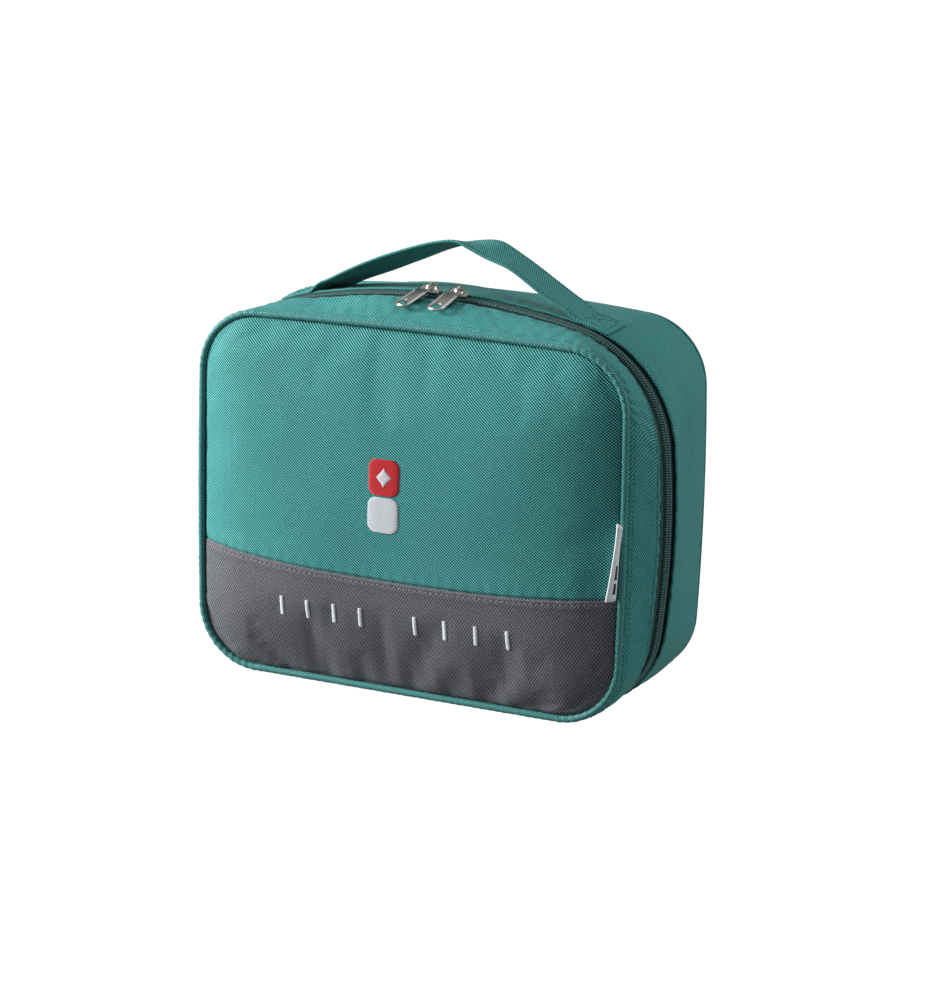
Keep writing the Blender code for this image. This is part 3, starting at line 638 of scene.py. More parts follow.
# top-stitch along the grey cloth
xs = np.linspace(-118.5, 118.5, 500)
zs = seam_z(xs) - 2.5
pp = np.stack([xs, front_y(xs, zs) - 0.02, zs], 1)
oo = np.tile([0, -1.0, 0], (500, 1))
stitches('grey_top_stitch', pp, oo, 2.3, 3.1, 0.24, GREY_THREAD, 'lid', closed=False, jitter=0.08)

# ------------------------------------------------------------------ piping
lp = outline(**PIPING)
pn = normals(lp)
pu = np.concatenate([[0], np.cumsum(np.linalg.norm(np.roll(lp, -1, 0) - lp, axis=1))])[:-1]
sides = 14
rr = np.zeros((N, sides))
for k in range(sides):
    q = 2 * PI * k / sides
    rr[:, k] = 1.86 + 0.12 * np.sin(2 * PI * pu / 4.4 + q) + 0.05 * ripple(TU, 0, 31 + k % 2, ku=(30, 90))
path = np.stack([lp[:, 0], np.full(N, FRONT_Y - 0.3), lp[:, 1]], 1)
tube('front_piping_cord', path, rr, PIPE_M, 'lid', closed=True, sides=sides, nodes=['front_piping'], slot='piping')

# ------------------------------------------------------------------ gussets


def rel(y, a, b):
    return np.clip((y - a) / (b - a), 0, 1)


def hollow(y):
    """Soft hollow in the top of the lid, left of the sliders. The foam under it is pressed in by nearly as much."""
    return 2.2 * np.exp(-((L_ZIP[:, 0] + 61.0) / 14.0) ** 2) * bump(y, -39.0, 7.5) * (L_ZIP[:, 1] > 150)


def gusset_d(y, which):
    """How far the outer cloth stands off the plain outline at depth y, for each point round the bag."""
    if which == 'lid':
        t = rel(y, EDGE_Y, ZIP_Y - ZIP_OPEN)
        w = math.sin(PI * t)
        d = 0.40 * w * ripple(TU, y, 41, ku=(7, 22), lv=(50, 120)) + 0.20 * ripple(TU, y, 42, ku=(45, 120), lv=(9, 22)) * (0.6 + 0.7 * math.exp(-t * 6) + 0.7 * math.exp(-(1 - t) * 6))
        d = d - hollow(y)
        d = d - 1.3 * math.exp(-(y - EDGE_Y) / 0.8) - 0.16 * bump(y, -47.9, 0.45)
        d = d + 0.30 * bump(y, -31.4, 1.2) - 0.22 * bump(y, -32.6, 0.5) - 0.9 * rel(y, -31.5, -29.0) ** 1.5
    else:
        t = rel(y, ZIP_Y + ZIP_OPEN, 51.0)
        w = math.sin(PI * t)
        d = 0.9 * w * ripple(TU, y, 43, ku=(4, 15), lv=(70, 170)) + 0.13 * ripple(TU, y, 44, ku=(50, 130), lv=(15, 40)) * (0.2 + math.exp(-t * 9) + math.exp(-(1 - t) * 9))
        # the strap lifts the middle of the top a little
        d = d + 1.4 * rel(y, -15.0, 0.0) * (1 - rel(y, 25.0, 50.0)) * np.exp(-(L_ZIP[:, 0] / 40.0) ** 2) * (L_ZIP[:, 1] > 150)
        d = d + 1.15 * bump(y, -16.0, 1.8) - 0.30 * bump(y, -12.9, 0.55)
        d = d - 1.6 * math.exp((y - 51.2) / 1.3)
    return d * (0.25 + 0.75 * np.clip((L_ZIP[:, 1] - 1.0) / 12.0, 0, 1))


SIDE = normals(L_ZIP)[:, 0] ** 2
RISE = np.clip((L_ZIP[:, 1] - 16.0) / 14.0, 0, 1)


def pull_back(y, which):
    """How far the cloth edge beside the zipper is drawn away from it: more down the two sides, none along the bottom."""
    if which == 'lid':
        return -(1.1 + 2.1 * SIDE) * RISE * rel(y, -40.0, -30.5)
    return (0.9 + 1.9 * SIDE) * RISE * (1 - rel(y, -15.5, -7.0))


def cloth_band(name, ys, which, mat, body, node_name, slot, thick=CLOTH):
    outer = [hoop(y, gusset_d(y, which)) for y in ys]
    first, last = ys[0], ys[-1]
    roll = [hoop(last + 0.25 * np.sign(last - first), gusset_d(last, which) - 0.5), hoop(last, gusset_d(last, which) - thick)]
    inner = [hoop(y, gusset_d(y, which) - thick) for y in ys[-2:0:-4]] + [hoop(first, gusset_d(first, which) - thick)]
    rows = outer + roll + inner
    for r in rows:
        r[:, 1] += pull_back(float(r[0, 1]), which)
        r[:, 2] = np.maximum(r[:, 2], 0.02)
    return loft(name, rows, mat, body, nodes=[node_name], slot=slot)


lid_ys = np.unique(np.concatenate([np.linspace(EDGE_Y, -44.8, 20), np.linspace(-44.8, -34, 9), np.linspace(-34, -29.0, 20)]))
cloth_band('lid_gusset_cloth', lid_ys, 'lid', GREEN_SIDE, 'lid', 'lid_gusset', 'green_cloth')
# body cloth runs from the raised hem beside the zipper to the back seam; list back to front so the hem rolls over
body_ys = np.unique(np.concatenate([np.linspace(-17.0, -10.5, 24), np.linspace(-10.5, 44, 22), np.linspace(44, 51.6, 16)]))[::-1]
cloth_band('body_gusset_cloth', body_ys, 'body', GREEN_SIDE, 'body', 'body_gusset', 'green_cloth')


def foam_band(name, ys, body, node_name):
    a, b = -CLOTH - GAP - 0.35, -CLOTH - GAP - FOAM + 0.15
    press = (lambda y: 0.80 * hollow(y)) if body == 'lid' else (lambda y: 0.0)
    rows = [hoop(y, a - press(y) - 0.3 * (i in (0, len(ys) - 1)) + 0.08 * ripple(TU, y, 51)) for i, y in enumerate(ys)] + [hoop(y, b) for y in ys[::-1]]
    loft(name, rows, FOAM_M, body, nodes=[node_name], slot='foam')


foam_band('body_foam_wall', np.linspace(-10.5, 47.2, 14), 'body', 'body_foam')
foam_band('lid_foam_wall', np.linspace(-47.0, -35.6, 12), 'lid', 'lid_foam')

# stitch rows round the gussets
for nm, y, which, lift, body, mat in (('lid_seam_stitch_front', -47.9, 'lid', 0.02, 'lid', THREAD_M),
                                     ('lid_zip_stitch', -32.6, 'lid', 0.05, 'lid', THREAD_M), ('body_zip_stitch', -12.9, 'body', 0.05, 'body', THREAD_M)):
    h = hoop(y, gusset_d(y, which) + lift)
    h[:, 1] += pull_back(y, which)
    h[:, 2] = np.maximum(h[:, 2], 0.1)
    stitches(nm, h, loop_normals(section(y)), 2.1, 2.8, 0.2, mat, body, jitter=0.06, seed=len(nm))

# ------------------------------------------------------------------ back panel and its board
CEN = np.array([0.0, 101.0])


def rings(loop, scales, y_of):
    out = []
    for s in scales:
        q = CEN + (loop - CEN) * s
        out.append(np.stack([q[:, 0], y_of(q, s), q[:, 1]], 1))
    return out


SC = 1 - np.linspace(0, 1, 26)[:-1] ** 1.6
SC = np.append(SC, 0.0005)
lb = inset(section(BACK_Y), -1.0)


def back_y(q, s):
    d = (1 - s) * 100
    return 51.4 + 1.7 * (1 - np.exp(-d / 9)) + 0.25 * lumps(q[:, 0], q[:, 1], 61, lo=50, hi=120) * (1 - np.exp(-d / 25)) * min(1.0, float(s) / 0.35) ** 2


rows = rings(lb, SC, back_y) + rings(inset(lb, -0.2), SC[::-1], lambda q, s: back_y(q, s) - 1.0)
back = loft('back_panel_cloth', rows, GREEN_SIDE, 'body', flat=True, nodes=['back_panel'], slot='green_cloth')
lb2 = inset(section(49.0), -2.2)
rows = rings(lb2, SC, lambda q, s: np.full(len(q), 50.3)) + rings(lb2, SC[::-1], lambda q, s: np.full(len(q), 47.8))
loft('back_board_foam', rows, FOAM_M, 'body', nodes=['back_foam_board'], slot='foam')
h = rings(lb, [0.972], back_y)[0]
h[:, 1] += 0.05
stitches('back_seam_stitch', h, np.tile([0, 1.0, 0], (N, 1)), 2.1, 2.8, 0.2, THREAD_M, 'body', jitter=0.06)
# bound ridge where the back panel meets the sides
lpb = inset(section(51.6), -0.9)
tube('back_seam_ridge', np.stack([lpb[:, 0], np.full(N, 51.7), np.maximum(lpb[:, 1], 0.9)], 1), 0.85, GREEN_SIDE, 'body', closed=True, sides=8)

# ------------------------------------------------------------------ linings


def lined(name, ys, wall_y, body, node_name, seed):
    sgn = 1 if wall_y > 0 else -1
    dl = lambda y: D_LINE + 0.35 * ripple(TU, y, seed, ku=(5, 16), lv=(40, 90)) - 0.2
    outer = [hoop(y, dl(y)) for y in ys]
    lw = inset(section(wall_y), dl(wall_y) * 1.0)
    wy = lambda off: (lambda q, s: wall_y - sgn * off + (0 if s > 0.97 else 0.25) * lumps(q[:, 0], q[:, 1], seed + 1, lo=30, hi=90) * min(1, (1 - s) * 5) * min(1.0, float(s) / 0.35) ** 2)
    rows = outer + rings(lw, SC, wy(0.1)) + rings(inset(lw, -LINING), SC[::-1], wy(0.1 + LINING)) + [hoop(y, dl(y) - LINING) for y in ys[::-1]]
    return loft(name, rows, LINE_M, body, nodes=[node_name], slot='lining')


lined('body_lining_cloth', np.linspace(ZIP_Y + ZIP_OPEN + 0.6, 45.6, 24), 47.0, 'body', 'body_lining', 71)
lined('lid_lining_cloth', np.linspace(ZIP_Y - ZIP_OPEN - 0.6, -46.4, 8), -47.4, 'lid', 'lid_lining', 73)

# ------------------------------------------------------------------ zipper
LAST = 16.5


def run(y, d, s0=-LAST, s1=LAST, k=1):
    """Points along the zipper at depth y, offset d, from one end of the chain to the other."""
    idx = np.arange(int(s0 * ST), int(s1 * ST) + 1, k)
    lp = inset(section(y), d)
    lp[:, 1] = np.maximum(lp[:, 1], 0.0)
    return np.stack([lp[idx % N, 0], np.full(len(idx), float(y)), lp[idx % N, 1]], 1), loop_normals(lp)[idx % N]


def strip(name, prof, mat, body, node_name, slot, s0=-LAST, s1=LAST, nodes=None, **kw):
    """Length of hoop with a closed cross-section prof of (y, offset)."""
    cols = [run(y, d, s0, s1)[0] for y, d in prof]
    cols.append(cols[0])
    P = np.stack(cols, 1)
    nr, nc = P.shape[:2]
    s = np.concatenate([[0], np.cumsum(np.linalg.norm(np.diff(P[:, 0], axis=0), axis=1))])
    v = np.concatenate([[0], np.cumsum([math.hypot(prof[(i + 1) % len(prof)][0] - prof[i][0], prof[(i + 1) % len(prof)][1] - prof[i][1]) for i in range(len(prof))])])
    uv = np.stack([np.broadcast_to(s[:, None], (nr, nc)), np.broadcast_to(v[None], (nr, nc))], 2)
    faces = [tuple(f) for f in grid_faces(nr, nc)] + [tuple(range(nc - 1)), tuple(range((nr - 1) * nc, nr * nc - 1))[::-1]]
    return mesh(name, P, faces, mat, body, uv=uv, nodes=nodes or [node_name], slot=slot, **kw)


def tape_prof(sg):
    ys = [0.75, 1.2, 3.2, 3.8, 5.5, 8.0, 10.5, 12.0]
    up = [(ZIP_Y + sg * y, D_TAPE + (0.06 if y in (3.2,) else 0.0)) for y in ys]
    return up + [(ZIP_Y + sg * 12.1, D_TAPE - 0.3)] + [(ZIP_Y + sg * y, D_TAPE - 0.6) for y in ys[::-1]] + [(ZIP_Y + sg * 0.65, D_TAPE - 0.3)]


strip('zipper_tape_body_web', tape_prof(1), TAPE_M, 'body', 'zipper_tape_body', 'zipper_tape')
strip('zipper_tape_lid_web', tape_prof(-1), TAPE_M, 'lid', 'zipper_tape_lid', 'zipper_tape')


def coil(name, sg, body, node_name, y0, d0, length_path, out, across, phase, nodes, slot='zipper_coil', pitch=1.32, reach=2.95, tall=1.0):
    """Row of coil turns: each a bowed bar across the tape with a rounded head at the meeting line."""
    p = length_path
    s = np.concatenate([[0], np.cumsum(np.linalg.norm(np.diff(p, axis=0), axis=1))])
    n = int(s[-1] / pitch) - 1
    prof = [(0.0, 0.10, 0.30), (0.10, 0.62, 0.52), (0.30, 1.0, 0.56), (0.60, 1.06, 0.46), (0.85, 0.86, 0.44), (0.97, 0.5, 0.40), (1.0, 0.16, 0.28)]
    verts, faces = [], []
    k = len(prof)
    for i in range(n):
        a = (i + phase) * pitch
        c = np.array([np.interp(a, s, p[:, q]) for q in range(3)])
        b = np.array([np.interp(a + 0.2, s, p[:, q]) for q in range(3)]) - c
        b /= np.linalg.norm(b)
        o = np.array([np.interp(a, s, out[:, q]) for q in range(3)])
        o /= np.linalg.norm(o)
        ac = across(o, b)
        base = len(verts)
        for (q, h, w) in prof:
            y = reach * q
            for (dw, dh) in ((-1, 0), (-0.75, 0.8), (0, 1.0), (0.75, 0.8), (1, 0)):
                verts.append(c + ac * y + b * (dw * w * 0.74) + o * (tall * h * dh))
        for r in range(k - 1):
            for j in range(4):
                q = base + r * 5 + j
                faces.append((q, q + 1, q + 6, q + 5))
            faces.append((base + r * 5 + 4, base + r * 5, base + r * 5 + 5, base + r * 5 + 9))
        faces.append(tuple(base + j for j in range(5))[::-1])
        faces.append(tuple(base + (k - 1) * 5 + j for j in range(5)))
    return mesh(name, verts, faces, COIL_M, body, nodes=nodes, slot=slot, weld=False)


for sg, body, ph in ((1, 'body', 0.5), (-1, 'lid', 1.0)):
    p, o = run(ZIP_Y + sg * 0.45, D_TAPE + 0.55)
    coil('zipper_coil_%s_turns' % body, sg, body, None, 0, 0, p, o, lambda n, b, sg=sg: np.array([0, sg * 1.0, 0]), ph, ['zipper_coil_' + body], tall=1.6)
    for k, yy in enumerate((1.95, 3.95)):
        q, o = run(ZIP_Y + sg * yy, D_TAPE + (2.22 if k == 0 else 0.12))
        tube('zipper_thread_%s_%d' % (body, k), q, 0.2, CORD_M, body, up=None, sides=5)

# fabric over the two ends of the chain
for side, s0, s1 in (('right', LAST + 0.10, 18.2), ('left', -18.2, -LAST - 0.10)):
    prof = [(ZIP_Y + y, d) for y, d in ((-5.6, -0.5), (-5.2, 0.05), (-4.2, 0.25), (-2, 0.45), (0, 0.5), (2, 0.45), (4.2, 0.25), (5.2, 0.05), (5.6, -0.5), (4.6, -1.0), (0, -1.1), (-4.6, -1.0))]
    strip('zipper_end_patch_' + side, prof, GREEN_SIDE, 'body', 'zipper_end_tab_' + side, 'green_cloth', s0=s0, s1=s1)

# cloth hinge along the bottom
prof = []
for y in np.linspace(-5.6, 5.6, 33):
    prof.append((ZIP_Y + y, 0.0 - 0.35 * (abs(abs(y) - 4.4) < 0.3) - 0.4 * max(abs(y) - 5.2, 0)))
prof += [(ZIP_Y + y, -1.1) for y in np.linspace(5.6, -5.6, 33)]
hinge = strip('bottom_hinge_cloth', prof, GREEN_SIDE, None, 'bottom_hinge_strip', 'green_cloth', s0=18.3, s1=44 - 18.3)
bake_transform(hinge)

# ------------------------------------------------------------------ sliders and pulls
ARC_Z, RT = ZIP['zt'] - ZIP['rt'], ZIP['rt']
YAW = {'left': math.radians(-22.0), 'right': math.radians(-11.0)}
TOP_IN = D_TAPE + GAP + 2.0 + GAP
BAR = 2.4


def place(pts, mat4):
    p = np.asarray(pts, float).reshape(-1, 3)
    return (np.array(mat4)[:3, :3] @ p.T).T + np.array(mat4)[:3, 3]


def solid_from_curve(loops, half, bevel):
    """Bevelled plate from flat outlines, the later ones cut as holes. Returns points and faces."""
    cu = bpy.data.curves.new('plate', 'CURVE')
    cu.dimensions = '2D'
    cu.fill_mode = 'BOTH'
    cu.extrude = (half - bevel) * MM
    cu.bevel_depth = bevel * MM
    cu.bevel_resolution = 3
    cu.offset = -bevel * MM
    for lp in loops:
        sp = cu.splines.new('POLY')
        sp.points.add(len(lp) - 1)
        for i, (a, b) in enumerate(lp):
            sp.points[i].co = (a * MM, b * MM, 0, 1)
        sp.use_cyclic_u = True
    ob = bpy.data.objects.new('plate', cu)
    bpy.context.scene.collection.objects.link(ob)
    bpy.context.view_layer.update()
    me = bpy.data.meshes.new_from_object(ob.evaluated_get(bpy.context.evaluated_depsgraph_get()))
    v = np.array([p.co[:] for p in me.vertices]) / MM
    f = [tuple(p.vertices) for p in me.polygons]
    bpy.data.objects.remove(ob, do_unlink=True)
    bpy.data.meshes.remove(me)
    return v, f


def ring2(r, cx, cy, n=28, rx=None):
    return [(cx + (rx or r) * math.cos(2 * PI * k / n), cy + r * math.sin(2 * PI * k / n)) for k in range(n)]


def round_poly(pts, r, k=6):
    """Rounds the corners of a polygon by r."""
    out = []
    n = len(pts)
    for i in range(n):
        a, b, c = (np.array(pts[j % n], float) for j in (i - 1, i, i + 1))
        u, v = (a - b) / np.linalg.norm(a - b), (c - b) / np.linalg.norm(c - b)
        q = min(r, 0.45 * np.linalg.norm(a - b), 0.45 * np.linalg.norm(c - b))
        p0, p1 = b + u * q, b + v * q
        for t in np.linspace(0, 1, k):
            out.append(tuple((1 - t) ** 2 * p0 + 2 * t * (1 - t) * b + t * t * p1))
    return out


def merge(parts):
    vs, fs, k = [], [], 0
    for v, f in parts:
        vs.append(np.asarray(v, float))
        fs += [tuple(i + k for i in q) for q in f]
        k += len(v)
    return np.concatenate(vs), fs


def bar(path, w, t, side):
    """Rounded bar along a path: w wide along side, t thick."""
    p = np.asarray(path, float)
    tn = np.gradient(p, axis=0)
    tn /= np.linalg.norm(tn, axis=1)[:, None]
    side = np.array(side, float)
    up = np.cross(tn, side)
    sec = [(math.copysign(abs(math.cos(q)) ** 0.5, math.cos(q)), math.copysign(abs(math.sin(q)) ** 0.5, math.sin(q))) for q in np.linspace(0, 2 * PI, 16, endpoint=False)]
    v, f = [], []
    for i in range(len(p)):
        for a, b in sec:
            v.append(p[i] + side * a * w / 2 + up[i] * b * t / 2)
    k = len(sec)
    for i in range(len(p) - 1):
        for j in range(k):
            f.append((i * k + j, i * k + (j + 1) % k, (i + 1) * k + (j + 1) % k, (i + 1) * k + j))
    f += [tuple(range(k)), tuple(range((len(p) - 1) * k, len(p) * k))[::-1]]
    return np.array(v), f


for side, sx in (('left', -2.0), ('right', 14.0)):
    arcm = Matrix.Translation((0, ZIP_Y, ARC_Z)) @ Matrix.Rotation(sx / RT, 4, 'Y')
    zt = RT + TOP_IN
    post = arcm @ Matrix.Translation((0, 0, zt + 1.2)) @ Matrix.Rotation(YAW[side], 4, 'Z')
    # top and bottom plates: a shield, wide where the two halves part
    w = 3.9
    fl = 1 if side == 'left' else -1
    shield = round_poly([(-5.5 * fl, -w + 1.1), (-3.2 * fl, -w), (1.8 * fl, -w), (5.5 * fl, -w + 1.3), (5.5 * fl, w - 1.3), (1.8 * fl, w), (-3.2 * fl, w), (-5.5 * fl, w - 1.1)], 1.2)
    v, f = solid_from_curve([shield], 0.62, 0.28)
    dome = v.copy()
    dome[:, 2] += 0.6 + 0.35 * (1 - (dome[:, 1] / 4.2) ** 2) * (dome[:, 2] > 0)
    parts = [(dome + [0, 0, zt], f)]
    v2, f2 = solid_from_curve([round_poly([(-5.3, -3.4), (5.3, -3.4), (5.3, 3.4), (-5.3, 3.4)], 1.4)], 0.45, 0.2)
    parts.append((v2 + [0, 0, RT + D_TAPE - 0.6 - GAP - 0.5], f2))
    vw, fw = solid_from_curve([round_poly([(-5.0, -0.36), (5.0, -0.36), (5.0, 0.36), (-5.0, 0.36)], 0.3)], 2.3, 0.05)
    parts.append((vw + [0, 0, RT - 0.9], fw))
    vs, fs = merge(parts)
    vs = place(vs, arcm)
    # bridge: a rounded loop that carries the pull's cross bar
    q = np.linspace(-0.12, PI + 0.12, 25)
    path = np.stack([np.zeros(25), 3.25 * np.cos(q) / max(1, 1), 0.15 + 3.55 * np.sin(q) ** 0.8 * (np.sin(q) > 0) if False else 3.6 * np.clip(np.sin(q), -0.2, 1)], 1)
    bv, bf = bar(path, 1.9, 0.95, (1, 0, 0))
    bv = place(bv, post)
    vs, fs = merge([(vs, fs), (bv, bf)])
    mesh('slider_%s_body' % side, vs, fs, NICKEL, 'slider_' + side, nodes=['zipper_slider_' + side], slot='nickel', sharp=40)
    # pull: flat tongue with a round eye, raised rim and a window round the bar
    pm = post @ Matrix.Translation((0, -1.5, BAR)) @ Matrix.Rotation(math.radians(22.0), 4, 'X') @ Matrix.Diagonal((1.42, 1.0, 1.0, 1.0))
    tip = [(3.5 * math.cos(PI * k / 18), -19.5 - 3.5 * math.sin(PI * k / 18)) for k in range(19)]
    out = round_poly([(-2.45, 0.7), (-2.45, -4.6), (-3.5, -7.2)], 0.8)[:-6] + [(-3.5, -7.2)] + tip[::-1] + [(3.5, -7.2)] + round_poly([(3.5, -7.2), (2.45, -4.6), (2.45, 0.7)], 0.8)[6:]
    win = round_poly([(-1.3, -0.7), (-1.3, -4.9), (1.3, -4.9), (1.3, -0.7)], 0.6)
    v, f = solid_from_curve([out, win, ring2(2.25, 0, -19.2)], 0.5, 0.22)
    parts = [(v, f)]
    # raised rim that follows the tongue's edge, and the collar of the eye
    rim_pts = [(-2.7, -7.4)] + [(2.7 * math.cos(PI * k / 18), -19.4 - 2.7 * math.sin(PI * k / 18)) for k in range(19)][::-1] + [(2.7, -7.4)]
    rp = np.array([(a, b, 0.48) for a, b in rim_pts])
    parts.append(bar(rp, 0.42, 0.42, (0, 0, 1)))
    eye = np.array([(a, b, 0.5) for a, b in ring2(2.52, 0, -19.2, 29)] + [(2.52, -19.2, 0.5)])
    parts.append(bar(eye, 0.36, 0.5, (0, 0, 1)))
    vs, fs = merge(parts)
    mesh('pull_%s_tongue' % side, place(vs, pm), fs, NICKEL, 'pull_' + side, nodes=['zipper_pull_' + side], slot='nickel', sharp=40)

# ------------------------------------------------------------------ carry strap
lie = lambda xs, y, up=0.0: [(x, top_z(x, y, STRAP_T / 2 - 0.15) + up) for x in xs]
# the strap twists as it rises: its near edge is the higher one on the left leg, its far edge on the right
NEAR = lie([-95, -90, -84, -78], -16.5) + [(-73.5, 207.6), (-67.6, 210.4), (-46.4, 221.2), (-20.7, 231.0), (-2.0, 236.2), (7.5, 237.2), (14.0, 234.6), (23.4, 230.6),
       (37.1, 226.4), (48.0, 220.3), (55.5, 215.4), (61.3, 211.8), (68.0, 208.9)] + lie([78, 84, 90, 95], -16.5, 0.2)
FAR = lie([-95, -90, -84, -78, -70, -64], 7.5) + [(-57.8, 208.2), (-39.6, 215.6), (-23.3, 222.6), (-8.0, 229.4), (4.0, 233.4), (13.0, 235.3), (21.0, 236.0), (27.0, 234.6),
      (40.8, 226.8), (56.0, 217.6), (66.0, 211.4), (73.2, 207.4)] + lie([79, 84, 90, 95], 7.5, 0.2)


def smooth_path(pts, per):
    p = [np.array(q, float) for q in pts]
    out = []
    for i in range(len(p) - 1):
        a, b, c, d = p[max(i - 1, 0)], p[i], p[i + 1], p[min(i + 2, len(p) - 1)]
        for k in range(per):
            t = k / per
            out.append(0.5 * ((2 * b) + (c - a) * t + (2 * a - 5 * b + 4 * c - d) * t * t + (3 * b - a - 3 * c + d) * t ** 3))
    out.append(p[-1])
    return np.array(out)


def even(pts, n):
    q = smooth_path(pts, 14)
    a = np.concatenate([[0], np.cumsum(np.linalg.norm(np.diff(q, axis=0), axis=1))])
    t = np.linspace(0, a[-1], n)
    q = np.stack([np.interp(t, a, q[:, 0]), np.interp(t, a, q[:, 1])], 1)
    for _ in range(10):
        q[1:-1] = q[1:-1] * 0.5 + (q[:-2] + q[2:]) * 0.25
    return q, a[-1]


(near_e, len_n), (far_e, len_f) = even(NEAR, 250), even(FAR, 250)
sp = (near_e + far_e) / 2
ss = np.linspace(0, (len_n + len_f) / 2, 250)
tg = np.gradient(sp, axis=0)
tg /= np.linalg.norm(tg, axis=1)[:, None]
nm = np.stack([-tg[:, 1], tg[:, 0]], 1)
half_w, half_t = STRAP_W / 2, STRAP_T / 2
nv = 25
vv = np.linspace(-1, 1, nv)
side_t = half_t * (1 - np.abs(vv) ** 14) ** 0.5 * (1 + 0.16 * bump(np.abs(vv), 0.95, 0.05) - 0.22 * bump(np.abs(vv), 0.82, 0.025))
free = np.clip((sp[:, 1] - 206.5) / 8.0, 0, 1)
across = np.stack([far_e[:, 0] - near_e[:, 0], np.full(250, STRAP_W), far_e[:, 1] - near_e[:, 1]], 1)
across /= np.linalg.norm(across, axis=1)[:, None]
tan3 = np.stack([tg[:, 0], np.zeros(250), tg[:, 1]], 1)
nm3 = np.cross(tan3, across)
nm3 /= np.linalg.norm(nm3, axis=1)[:, None]
nm3 *= np.sign(nm3[:, 2:3])


def strap_point(i, v, off):
    """Point of the strap at step i, v across (-1 near, 1 far), off along its thickness."""
    w = (v + 1) / 2
    xz = near_e[i] * (1 - w) + far_e[i] * w
    sag = -0.5 * (1 - v * v) * free[i] + 0.25 * math.sin(2.2 * v + ss[i] / 31.0) * free[i]
    p = np.array([xz[0], STRAP_Y + half_w * v, xz[1]]) + nm3[i] * (off + sag)
    if free[i] < 0.999:
        ground = top_z(p[0], p[1], STRAP_T / 2 - 0.05) + off
        if abs(p[0]) > 60:
            p[2] = max(p[2], ground) if off > -9 else p[2]
    return p


ring = [(v, t) for v, t in zip(vv, side_t)] + [(v, -t) for v, t in zip(vv[::-1][1:-1], side_t[::-1][1:-1])]
P = np.array([[strap_point(i, v, off + 0.05 * math.sin(ss[i] / 4.1 + 3 * v) * (abs(v) > 0.75)) for v, off in ring + ring[:1]] for i in range(len(sp))])
nr, nc = P.shape[:2]
vpos = np.concatenate([[0], np.cumsum(np.linalg.norm(np.diff(P[nr // 2], axis=0), axis=1))])
uv = np.stack([np.broadcast_to(ss[:, None], (nr, nc)), np.broadcast_to(vpos[None], (nr, nc))], 2)
faces = [tuple(f) for f in grid_faces(nr, nc)] + [tuple(range(nc - 1)), tuple(range((nr - 1) * nc, nr * nc - 1))[::-1]]
strap = mesh('carry_strap_web', P, faces, STRAP_M, None, uv=uv, nodes=['carry_strap', 'strap_end_left', 'strap_end_right'], slot='strap')
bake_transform(strap)

# edge stitching along both sides of the strap, and the box stitch that holds each end
for k, v in enumerate((-0.82, 0.82)):
    j = int(np.argmin(np.abs(vv - v)))
    pth, outn = P[8:-8, j].copy(), nm3[8:-8]
    st = stitches('strap_edge_stitch_%d' % k, pth + outn * 0.05, outn, 2.3, 3.0, 0.22, THREAD_M, None, closed=False, jitter=0.06, seed=80 + k)
    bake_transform(st)
for side, sg in (('left', -1), ('right', 1)):
    def on(x, v):
        y = STRAP_Y + half_w * v
        return np.array([x, y, top_z(x, y, STRAP_T - 0.02)])
    a, b = 74.5 * sg, 93.0 * sg
    legs = [[on(a, v) for v in np.linspace(-0.72, 0.72, 20)], [on(b, v) for v in np.linspace(-0.72, 0.72, 20)],
            [on(x, -0.72) for x in np.linspace(a, b, 20)], [on(x, 0.72) for x in np.linspace(a, b, 20)],
            [on(a + (b - a) * t, -0.72 + 1.44 * t) for t in np.linspace(0, 1, 24)], [on(a + (b - a) * t, 0.72 - 1.44 * t) for t in np.linspace(0, 1, 24)]]
    for k, leg in enumerate(legs):
        stitches('strap_box_stitch_%s_%d' % (side, k), leg, np.tile([0.25 * sg, 0, 1.0], (len(leg), 1)), 2.1, 2.7, 0.22, THREAD_M, 'body', closed=False, seed=90 + k)

# ------------------------------------------------------------------ embroidery and label


def embroidered(name, spans, z0, z1, mat, body, lift=0.24, pitch=0.46, nodes=(), slot=None, seed=7, ny=None):
    """Satin stitch: one thread per step of height. spans(z) gives the thread's two ends."""
    rng = np.random.default_rng(seed)
    verts, faces = [], []
    n = max(int(round((z1 - z0) / pitch)), 1)
    sec = [(math.cos(q), math.sin(q)) for q in np.linspace(0, 2 * PI, 6, endpoint=False)]
    for i in range(n):
        z = z0 + (i + 0.5) * (z1 - z0) / n
        a, b = spans(z)
        if b - a < 0.3:
            continue
        a, b = a + rng.uniform(-0.14, 0.10), b + rng.uniform(-0.10, 0.14)
        k = max(int((b - a) / 1.1), 4)
        base = len(verts)
        for j in range(k + 1):
            t = j / k
            x = a + (b - a) * t
            e = (1 - abs(2 * t - 1) ** 6)
            y = float(front_y(x, z)) - lift * (0.25 + 0.75 * e) + 0.03 * math.sin(9.1 * t + i)
            for c, q in sec:
                r = 0.30 * (0.35 + 0.65 * e)
                verts.append((x, y + q * r, z + c * r + 0.05 * math.sin(7 * t + 2.1 * i)))
        for j in range(k):
            for q in range(6):
                u, w = base + j * 6 + q, base + j * 6 + (q + 1) % 6
                faces.append((u, w, w + 6, u + 6))
        faces.append(tuple(base + q for q in range(6))[::-1])
        faces.append(tuple(base + k * 6 + q for q in range(6)))
    return mesh(name, verts, faces, mat, body, nodes=nodes, slot=slot, weld=False)


def tile_span(x0, x1, z0, z1, r):
    def f(z):
        q = max(r - (z - z0), r - (z1 - z), 0.0)
        cut = r - math.sqrt(max(r * r - q * q, 0.0))
        return x0 + cut, x1 - cut
    return f


